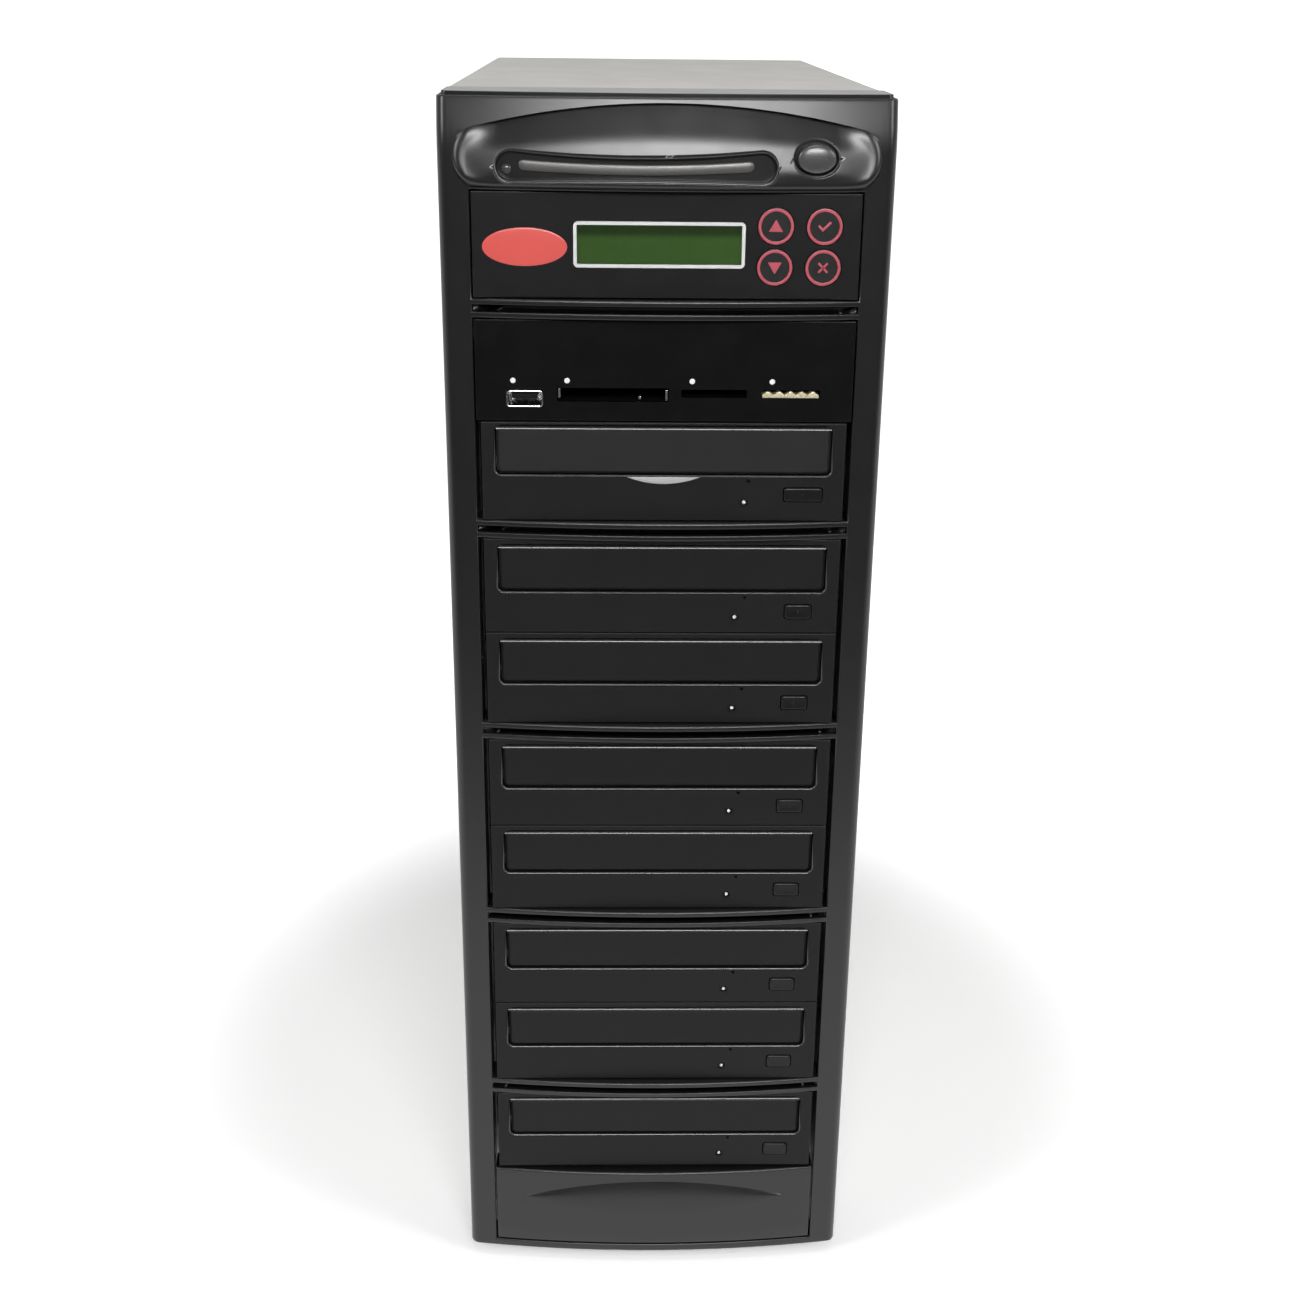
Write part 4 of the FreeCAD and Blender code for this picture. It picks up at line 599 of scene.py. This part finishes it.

# Drawer surrounds: a raised line moulded on each front plate, down both sides of its drawer and along under
# it. The line is a half round that stands surround_rise proud and fades out at both upper ends. Its paler
# plastic, that of the drawer edges, is a painted highlight.
surround_gap, surround_width, surround_rise, surround_root = 0.45, 0.7, 0.3, [0, 0.2, 0]
surround_rows = []
for _, top in drawer_tops:
    loops = []
    for share in np.linspace(0, 1, 5):
        grown = surround_gap + surround_width * share
        edge, _ = rounded_outline(0, top - drawer_height / 2, drawer_half + grown, drawer_height / 2 + grown,
                                  2.0 + grown)
        line = edge[13:29]
        y = face_y - surround_rise * math.sin(share * math.pi)
        loops.append(upright_loop(line[:, 0], line[:, 1], y))
    inside, outside = loops[0] + surround_root, loops[-1] + surround_root
    loops = np.stack([inside] + loops + [outside, inside])
    loops[:, [0, -1]] = loops[:1, [0, -1]]
    surround_rows.append(loops)
put("drawer_surrounds", "root", highlight_plastic, surround_rows)

# Reading drive's crescent: a pale grey lens shape under the drawer, in its shallow recess; its pale grey is
# painted light falling in a finger notch.
# Its upper edge is straight and its lower edge is an arc.
crescent_half, crescent_height, crescent_top = 15.2, 2.9, reader_level + 18.55
crescent_xs = np.linspace(-crescent_half, crescent_half, 41)
crescent_centre, crescent_radius = circle((-crescent_half, crescent_top), (0, crescent_top - crescent_height),
                                          (crescent_half, crescent_top))
crescent_low = crescent_centre[1] - np.sqrt(crescent_radius ** 2 - crescent_xs ** 2)
crescent_x = np.hstack([crescent_xs, crescent_xs[::-1][1:], crescent_xs[:1]])
crescent_z = np.hstack([crescent_low, np.full(40, crescent_top), crescent_low[:1]])
crescent_mid = (np.interp(crescent_x, crescent_xs, crescent_low) + crescent_top) / 2
crescent = np.stack([crescent_x, crescent_z], -1), np.stack([crescent_x * 0.93, crescent_mid], -1)
# Painted light: this pale grey stands for light falling in the finger notch under the drawer.
painted_light_grey = finish("painted_light_notch", (0.38, 0.38, 0.375), 0.4, wander=0.05, patch=0.004)
put("crescent_painted_light", "root", painted_light_grey,
    [cap_rows(crescent, face_y + 0.38, face_y + 0.1, *dome(0.2, 5))])

# Card reader: a flat moulded panel with three card slots and a steel plug socket, over a block of contacts.
# The panel is black plastic with a fine grain, and the block behind it is duller.
card_plastic = finish("card_panel_black", (0.0022, 0.0022, 0.0024), 0.36, wander=0.1, gloss=0.03,
                      relief=0.000004, shine_level=0.2)
panel_plastic = finish("panel_black", (0.008, 0.008, 0.0084), 0.36, wander=0.1, gloss=0.03, relief=0.000004,
                       shine_level=0.3)
block_plastic = finish("inner_plastic", (0.004, 0.004, 0.0042), 0.5, wander=0.12, patch=0.01, grain=0.0005,
                       relief=0.00002, shine_level=0.2)
shell_steel = finish("plug_steel", (0.62, 0.61, 0.59), 0.25, metal=1.0, wander=0.05, patch=0.004,
                     grain=0.0006, drawn=(1.0, 0.1, 1.0))
dress(card_plastic, "card_reader_panel")
dress(panel_plastic, "control_panel")
dress(block_plastic, "card_reader_module", "display_module")

# Contacts in the card slots: gold-plated spring fingers of the narrow slot and steel guides of the wide one.
# Seen from the front each finger is a hump on its bed, and all are fixed in the block.
card_level, panel_half = 417.16, 76.0
gold = finish("contact_gold", (0.95, 0.85, 0.58), 0.3, metal=0.6, patch=0.002, relief=0.000008)
narrow_mid, narrow_half, narrow_z = 0.66974 * panel_half, 0.15789 * panel_half, card_level + 11.6
bed_low, finger_foot, finger_top = narrow_z - 1.6, narrow_z - 0.3, narrow_z + 0.9


def finger_outline(x, half):
    """One finger from the front: a hump whose height over x is finger_foot + the rise times cos^2."""
    way = np.linspace(-1, 1, 13)
    hump = finger_foot + (finger_top - finger_foot) * np.cos(way * np.pi / 2) ** 2
    edge = np.stack([np.hstack([x + half * way[::-1], [x - half, x + half]]),
                     np.hstack([hump, [bed_low, bed_low]])], -1)
    edge = np.vstack([edge, edge[:1]])
    spine = np.stack([x + (edge[:, 0] - x) * 0.5, np.full(len(edge), (bed_low + finger_foot) / 2)], -1)
    return edge, spine


finger_half = narrow_half * 0.19
fingers = [cap_rows(finger_outline(x, finger_half), face_y + 12, face_y + 0.45, *slab(0.15, 1.0))
           for x in narrow_mid + narrow_half * np.linspace(-0.76, 0.76, 5)]
put("card_contacts", "root", gold, fingers)
wide_mid, wide_half, wide_z = -0.27368 * panel_half, 0.29605 * panel_half, card_level + 10.9
guides = [cap_rows(rounded_outline(wide_mid + side * (wide_half - 0.8), wide_z + drop, 0.55, tall, 0.3, 4),
                   face_y + 14, face_y + start, *slab(0.3, 0.55))
          for side, drop, tall, start in ((-1, 0.6, 2.0, 1.2), (1, -0.3, 2.3, 1.0), (0.5, -1.6, 0.7, 2.2))]
put("card_guides", "root", shell_steel, guides)

# Plug socket: a folded steel shell pressed through the card reader's panel, round a dark moulded tongue.
# The shell's mouth is open and its edge is rounded; the tongue stops short of it.
plug_x, plug_z, plug_half_x, plug_half_z, plug_wall = -56.3, 426.36, 7.4, 3.4, 0.6
plug_front, plug_depth, mouth_round = -188.2, 12.4, 0.3
shell_edge, _ = rounded_outline(plug_x, plug_z, plug_half_x, plug_half_z, 1.5)
mouth_edge, _ = rounded_outline(plug_x, plug_z, plug_half_x - plug_wall, plug_half_z - plug_wall, 0.9)
bent = np.linspace(0, np.pi, 5)[:, None]
lip_ring = shell_edge + (mouth_edge - shell_edge) * (1 - np.cos(bent[..., None])) / 2
lip_rows = upright_loop(lip_ring[..., 0], lip_ring[..., 1], plug_front + mouth_round * (1 - np.sin(bent)))
back_rows = np.stack([lip_rows[0] + [0, 12.9, 0], lip_rows[-1] + [0, 12.3, 0]])
shell_rows = np.vstack([back_rows[:1], lip_rows, back_rows[1:], back_rows[:1]])
mouth = mouth_edge, np.broadcast_to([plug_x, plug_z], mouth_edge.shape)
socket_shell = put("plug_shell", "root", shell_steel,
                   [shell_rows, cap_rows(mouth, plug_front + plug_depth + 1.2, plug_front + plug_depth)])
tongue = cap_rows(rounded_outline(plug_x, plug_z + 1.0, 5.2, 0.95, 0.2, 4), plug_front + plug_depth,
                  plug_front + 0.9, *slab(0.2, 0.95))
socket_tongue = put("plug_tongue", "root", block_plastic, [tongue])
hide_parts("usb_port")
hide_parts("usb_port")

# Display: a green glass with two lines of dot cells, in a white moulded trim with round corners.
# The glass is a film on the module's front, and a painted shadow makes it darker under the trim's upper edge.
white_plastic = finish("white_trim", (0.60, 0.60, 0.60), 0.35, wander=0.03, patch=0.01, grain=0.0005)
dress(white_plastic, "display_trim")
glass_low, glass_high, glass_left, glass_right = 480.15, 494.95, -35.0, 29.4
display_green = finish("display_green", (0.030, 0.070, 0.014), 0.2, wander=0.12, patch=0.02, gloss=0.03,
                       grain=0.002, relief=0.000002)


def ramp(tree, value, low, high, start, end):
    """A value carried smoothly from start at low to end at high."""
    return node(tree, "MapRange", {"Value": value, "From Min": low, "From Max": high, "To Min": start,
                                   "To Max": end}, interpolation_type="SMOOTHSTEP").outputs["Result"]


tree = display_green.node_tree
shader = tree.nodes["Principled BSDF"]
place = node(tree, "SeparateXYZ", {"Vector": tree.nodes["Texture Coordinate"].outputs["Object"]}).outputs
flat = node(tree, "CombineXYZ", {"X": place["X"], "Y": place["Z"]})
cells = node(tree, "TexBrick", {
    "Vector": flat.outputs["Vector"], "Scale": 1.0, "Brick Width": 0.0037, "Row Height": 0.0066,
    "Mortar Size": 0.00028, "Mortar Smooth": 0.4, "Color1": (0.94, 0.94, 0.94, 1),
    "Color2": (0.98, 0.98, 0.98, 1), "Mortar": (1, 1, 1, 1)}, offset=0.0)
# Painted shadow: the glass's colour drops to 0.4 of itself along its top, under the trim's upper edge.
painted_shadow = ramp(tree, place["Z"], 0.4895, 0.4925, 1.0, 0.4)
scaled = node(tree, "VectorMath", {0: cells.outputs["Color"], "Scale": painted_shadow}, operation="SCALE")
dimmed = node(tree, "Mix", {"Factor": 1.0, "A": shader.inputs["Base Color"].links[0].from_socket,
                            "B": scaled.outputs["Vector"]}, data_type="RGBA", blend_type="MULTIPLY")
fill(tree, shader, {"Base Color": dimmed.outputs["Result"]})
glass = rounded_outline((glass_left + glass_right) / 2, (glass_low + glass_high) / 2,
                        (glass_right - glass_left) / 2, (glass_high - glass_low) / 2, 0.8)
put("display_glass", "root", display_green,
    [cap_rows(glass, face_y + 0.38, face_y + 0.3, *slab(0.06, 7.4))])

# Keys: four round black caps that slide in the panel, each with a printed red ring in its raised rim.
# The marks are up, down, a tick and a cross, printed in the same red.
key_radius, key_front, key_dish, key_red_middle, key_red_half = 7.1, -188.6, 0.25, 6.35, 0.55
flange_radius, flange_back, flange_front, stem_radius = 7.6, 4.5, 3.5, 1.6
key_plastic = finish("key_plastic", (0.012, 0.012, 0.0125), 0.36, wander=0.1, patch=0.006, relief=0.000008)
key_red = finish("key_red", (0.42, 0.07, 0.095), 0.4, wander=0.06, patch=0.003, grain=0.0003,
                 relief=0.000004)
arrow = [(-2.75, -2.0), (2.75, -2.0), (0.15, 2.4), (-0.15, 2.4)]
slant = [(-2.1, -1.5), (-1.5, -2.1), (2.1, 1.5), (1.5, 2.1)]
marks = {"key_up": [arrow], "key_down": [[(-x, -z) for x, z in arrow]],
         "key_enter": [[(-2.6, 0.1), (-2.0, 0.8), (-0.7, -0.6), (-0.7, -1.9)],
                       [(-0.7, -1.9), (-0.7, -0.6), (2.1, 2.1), (2.7, 1.4)]],
         "key_escape": [slant, [(-z, x) for x, z in slant]]}
for name, shapes in marks.items():
    low, high = (np.array(corner) * 1000 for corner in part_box(name))
    x, z = (low[0] + high[0]) / 2, (low[2] + high[2]) / 2
    shares = np.array([0, 0.1, 0.3, 1.25, 1.4, key_radius]) / key_radius
    cap = cap_rows(oval_outline(x, z, key_radius, 65), key_front + 5.0, key_front + key_dish,
                   shares, [0, 0.18, key_dish, key_dish, 0, 0])
    flange = cap_rows(oval_outline(x, z, flange_radius, 65), key_front + flange_back,
                      key_front + flange_front)
    stem = cap_rows(oval_outline(x, z, stem_radius, 17), high[1], key_front + flange_back)
    key = put(name + "_cap", name, key_plastic, [cap, flange, stem])
    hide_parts(name)
    about = np.linspace(0, 2 * np.pi, 65)
    section = np.linspace(0, np.pi, 6)[:, None]
    ring_at = key_red_middle - key_red_half * np.cos(section)
    ring_rows = upright_loop(x + ring_at * np.cos(about), z + ring_at * np.sin(about),
                             key_front - 0.06 * np.sin(section))
    ring_rows[:, -1] = ring_rows[:, 0]
    ring_back = ring_rows[[0, -1]] + [0, 0.05, 0]
    print_rows = [np.vstack([ring_back[:1], ring_rows, ring_back[1:], ring_back[:1]])]
    for shape in shapes:
        edge = np.array(shape + shape[:1]) + [x, z]
        outline = edge, np.broadcast_to(edge[:-1].mean(0), edge.shape)
        print_rows.append(cap_rows(outline, key_front + key_dish - 0.01, key_front + key_dish - 0.05,
                                   [0, 0.08, 1], [0, 0.03, 0.03]))
    put(name + "_print", name, key_red, print_rows)

# Badge: a plain oval of red resin, poured over a red film and stuck to the panel.
# Its face is a smooth dome with no mark on it.
badge_x, badge_z, badge_halves = -55.4, 486.5, (16.6, 7.4)
badge_resin = finish("badge_red", (0.60, 0.085, 0.075), 0.3, wander=0.03, patch=0.01, gloss=0.01,
                     grain=0.002, relief=0.000002)
badge = put("badge_oval", "root", badge_resin,
            [cap_rows(oval_outline(badge_x, badge_z, badge_halves, 81), face_y, face_y - 0.15, *dome(0.45))])
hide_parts("badge")

# Strip: satin aluminium, stuck to the slot's floor; its ends are round and its face is a little crowned.
# It is bent so that both ends stand strip_bow higher than the middle.
strip_middle, strip_half, strip_low, strip_half_z = -12.0, 45.2, 514.01, 2.0
strip_bow, strip_rise, strip_back = 1.6, 0.55, -188.4
silver = finish("silver_trim", (0.16, 0.157, 0.152), 0.42, metal=0.7, wander=0.05, patch=0.012, gloss=0.06,
                relief=0.00001, drawn=(0.08, 1.0, 1.0))
strip_edge, _ = rounded_outline(strip_middle, strip_half_z, strip_half, strip_half_z, 1.9)
bar_xs = np.linspace(strip_middle - strip_half + 2.2, strip_middle + strip_half - 2.2, 45)
strip_edge = np.vstack([
    strip_edge[:7], np.stack([bar_xs[::-1], np.full_like(bar_xs, 2 * strip_half_z)], -1), strip_edge[7:21],
    np.stack([bar_xs, np.zeros_like(bar_xs)], -1), strip_edge[21:]])
strip_spine = np.stack([np.clip(strip_edge[:, 0], bar_xs[0], bar_xs[-1]),
                        np.full(len(strip_edge), strip_half_z)], -1)
strip = [part + [[0, 1]] * (strip_low + strip_bow * ((part[:, :1] - strip_middle) / strip_half) ** 2)
         for part in (strip_edge, strip_spine)]
strip_bar = put("hood_strip", "root", silver,
                [cap_rows(strip, strip_back, lambda x: bow(x, -strip_rise), *dome(strip_rise, 7))])
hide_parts("trim_strip")

# Lamps: small domes. The hood's is clear and dark until the power is on, and the card reader's four are
# white. Each drive's is a pale dome, a painted glint, in the middle of a dark collar.
lens_dark = finish("lens_dark", (0.05, 0.052, 0.055), 0.08, wander=0.1, patch=0.002, gloss=0.02,
                   grain=0.0006, relief=0.000004)
white_lens_and_glint = finish("white_lens_and_glint", (0.75, 0.75, 0.75), 0.2, wander=0.03, patch=0.001, relief=0.000004)
hood_lamp_x, hood_lamp_z, hood_lamp_back, collar_radius = -62.0, 515.81, -188.3, 2.0
hood_lamp = cap_rows(oval_outline(hood_lamp_x, hood_lamp_z, collar_radius, 33), hood_lamp_back,
                     float(bow(hood_lamp_x, -0.6)), *dome(0.9))
drive_lamps = [(30.8, level + 6.9) for level in writer_levels] + [(33.3, reader_level + 7.9)]
# The drives' pale domes use the white lens plastic as a painted glint.
glint_rows = [cap_rows(oval_outline(x, z, 0.75, 21), face_y + 4.3, face_y + 0.4, *dome(0.4, 6))
              for x, z in drive_lamps]
dark_lamps = put("dark_lamps", "root", lens_dark, [hood_lamp])
collar_shares, collar_rises = [0, 0.08, 0.3, 0.38, 0.38, 1], [0, 0.1, 0.1, 0, -0.9, -0.9]
collars = [cap_rows(oval_outline(x, z, collar_radius, 33), face_y + 1.0, face_y, collar_shares, collar_rises)
           for x, z in drive_lamps]
put("lamp_collars", "root", block_plastic, collars)
card_lamp_z = card_level + 16.6
white_rows = [cap_rows(oval_outline(share * panel_half, card_lamp_z, 1.1, 25), face_y + 4.8, face_y,
                       *dome(0.2, 6)) for share in (-0.80132, -0.51579, 0.14605, 0.56974)]
white_lamps_and_glints = put("white_lamps_and_glints", "root", white_lens_and_glint, white_rows + glint_rows)
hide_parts("indicator_lamps")
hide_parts("indicator_lamps")

# Power button: a domed oval cap that slides in the hood's ring and presses the switch behind it.
# A flange at its back keeps it in the bore.
button_rim = float(bow(ring_x, hood_proud))
button_cap = cap_rows(oval_outline(ring_x, ring_z, (7.3, 5.3), 65), button_rim + 11.4, button_rim,
                      *dome(1.6, 13))
button_flange = cap_rows(oval_outline(ring_x, ring_z, (9.0, 6.85), 65), button_rim + 6.6, button_rim + 5.6)
power_plastic = finish("power_plastic", (0.05, 0.05, 0.052), 0.3, wander=0.1, patch=0.006, gloss=0.03,
                       grain=0.0008, relief=0.000002, shine_level=0.9)
power_cap = put("power_cap", "power_button", power_plastic, [button_cap, button_flange])
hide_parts("power_button")

# Side and top panels: sheet steel folded round the chassis and powder coated in a pale warm grey.
# The coating has the small soft lumps of orange peel and is a little duller where hands slide it.
paint = finish("case_paint", (0.47, 0.455, 0.425), 0.45, wander=0.03, patch=0.08, grain=0.0011,
               relief=0.000018)
dress(paint, "top_panel", "left_side_panel", "right_side_panel")
screw_steel = finish("bright_steel", (0.58, 0.57, 0.55), 0.28, metal=1.0, wander=0.06, patch=0.004,
                     grain=0.0005, relief=0.00001)
dress(screw_steel, "thumb_screws", "drive_screws")

# Floor and backdrop: one pale sheet that sweeps up behind, white to the camera away from the object.
# Seen in the object's gloss it is white near the object and falls off in front of it.
reach, bend_y, bend_radius = 6.0, 2.6, 0.8
bends = np.linspace(0, np.pi / 2, 13)
sweep_y = np.hstack([[-reach, bend_y], bend_y + bend_radius * np.sin(bends), [bend_y + bend_radius]])
sweep_z = np.hstack([[0, 0], bend_radius - bend_radius * np.cos(bends), [reach]])
sheet = upright_loop([-reach, reach], np.stack([sweep_z, sweep_z], -1), sweep_y[:, None])
studio = bpy.data.materials.new("studio_sheet")
studio.use_nodes = True
tree = studio.node_tree
tree.nodes.remove(tree.nodes["Principled BSDF"])
rays = node(tree, "LightPath", {}).outputs
place = node(tree, "TexCoord", {}).outputs["Object"]
forward = node(tree, "SeparateXYZ", {"Vector": place}).outputs["Y"]
span = node(tree, "VectorMath", {0: place}, operation="LENGTH").outputs["Value"]
matt = node(tree, "BsdfDiffuse", {"Color": (0.86, 0.86, 0.86, 1)}).outputs[0]
glow = node(tree, "Emission", {"Strength": ramp(tree, span, 0.2, 0.42, 0.3, 1.0)}).outputs[0]
both = node(tree, "AddShader", {0: matt, 1: glow}).outputs[0]
seen = node(tree, "Math", {0: rays["Is Camera Ray"], 1: rays["Is Transmission Ray"]}, operation="MAXIMUM")
plain = node(tree, "MixShader", {0: seen.outputs[0], 1: matt, 2: both}).outputs[0]
mirrored = node(tree, "Emission", {"Strength": ramp(tree, forward, -0.95, -0.42, 0.12, 1.0)}).outputs[0]
shown = node(tree, "MixShader", {0: rays["Is Glossy Ray"], 1: plain, 2: mirrored}).outputs[0]
fill(tree, tree.nodes["Material Output"], {"Surface": shown})
sheet_mesh = bpy.data.meshes.new("studio_sheet")
corners = np.arange(len(sweep_y) * 2).reshape(-1, 2)
quads = np.stack([corners[:-1, 0], corners[:-1, 1], corners[1:, 1], corners[1:, 0]], -1)
sheet_mesh.from_pydata(sheet.reshape(-1, 3).tolist(), [], quads.tolist())
sheet_mesh.polygons.foreach_set("use_smooth", np.ones(len(quads), bool))
sheet_mesh.materials.append(studio)
studio_sheet = bpy.data.objects.new("studio_sheet", sheet_mesh)
bpy.context.scene.collection.objects.link(studio_sheet)

# Studio light: a soft box in front and above, a weak one overhead, one at each side, and a pale room.
# The room is white to the camera, and in the object's gloss it darkens towards the front.
world = bpy.data.worlds.new("pale_room")
bpy.context.scene.world = world
world.use_nodes = True
tree = world.node_tree
rays = node(tree, "LightPath", {}).outputs
place = node(tree, "TexCoord", {}).outputs["Generated"]
forward = node(tree, "SeparateXYZ", {"Vector": place}).outputs["Y"]
room = tree.nodes["Background"]
fill(tree, room, {"Color": (1, 1, 1, 1), "Strength": ramp(tree, forward, -0.5, 0.3, 0.08, 0.5)})
white = node(tree, "Background", {"Color": (1, 1, 1, 1)}).outputs[0]
even = node(tree, "Background", {"Color": (1, 1, 1, 1), "Strength": 0.15}).outputs[0]
gloss = node(tree, "MixShader", {0: rays["Is Glossy Ray"], 1: even, 2: room.outputs[0]}).outputs[0]
shown = node(tree, "MixShader", {0: rays["Is Camera Ray"], 1: gloss, 2: white}).outputs[0]
fill(tree, tree.nodes["World Output"], {"Surface": shown})


def soft_box(name, place, aim, width, height, watts):
    """A rectangular lamp at place that faces aim, unseen by the camera."""
    lamp = bpy.data.lights.new(name, "AREA")
    lamp.shape = "RECTANGLE"
    lamp.size, lamp.size_y, lamp.energy = width, height, watts
    box = bpy.data.objects.new(name, lamp)
    box.location = place
    box.rotation_euler = (Vector(aim) - Vector(place)).to_track_quat("-Z", "Y").to_euler()
    box.visible_camera = False
    bpy.context.scene.collection.objects.link(box)


soft_box("key_box", (0.1, -1.6, 1.16), (0.0, -0.19, 0.3), 0.85, 0.42, 19.0)
soft_box("overhead_box", (0.0, -0.35, 2.1), (0.0, -0.2, 0.5), 0.9, 0.35, 6.0)
soft_box("left_box", (-1.45, -1.0, 1.2), (0.0, -0.1, 0.45), 0.35, 0.8, 8.0)
soft_box("right_box", (1.45, -1.0, 1.2), (0.0, -0.1, 0.45), 0.35, 0.8, 8.0)

# Camera: the photograph's place and angle.
# Yaw turns it to the right, pitch down, and tilt rolls it about its own line of sight, all in radians.
yaw, pitch, tilt = 0.02282, 0.36517, 0.01083
look = Vector((math.sin(yaw) * math.cos(pitch), math.cos(yaw) * math.cos(pitch), -math.sin(pitch)))
level = Vector((math.cos(yaw), -math.sin(yaw), 0))
rise = level.cross(look)
across = level * math.cos(tilt) + rise * math.sin(tilt)
upward = -level * math.sin(tilt) + rise * math.cos(tilt)
lens = bpy.data.cameras.new("camera")
lens.sensor_width, lens.lens = 36.0, 47.838
camera = bpy.data.objects.new("camera", lens)
turned = Matrix((across, upward, -look)).transposed().to_4x4()
turned.translation = Vector((-0.02042, -0.8746, 0.58074))
camera.matrix_world = turned
bpy.context.scene.collection.objects.link(camera)
bpy.context.scene.camera = camera
bpy.context.scene.view_settings.view_transform = "Standard"
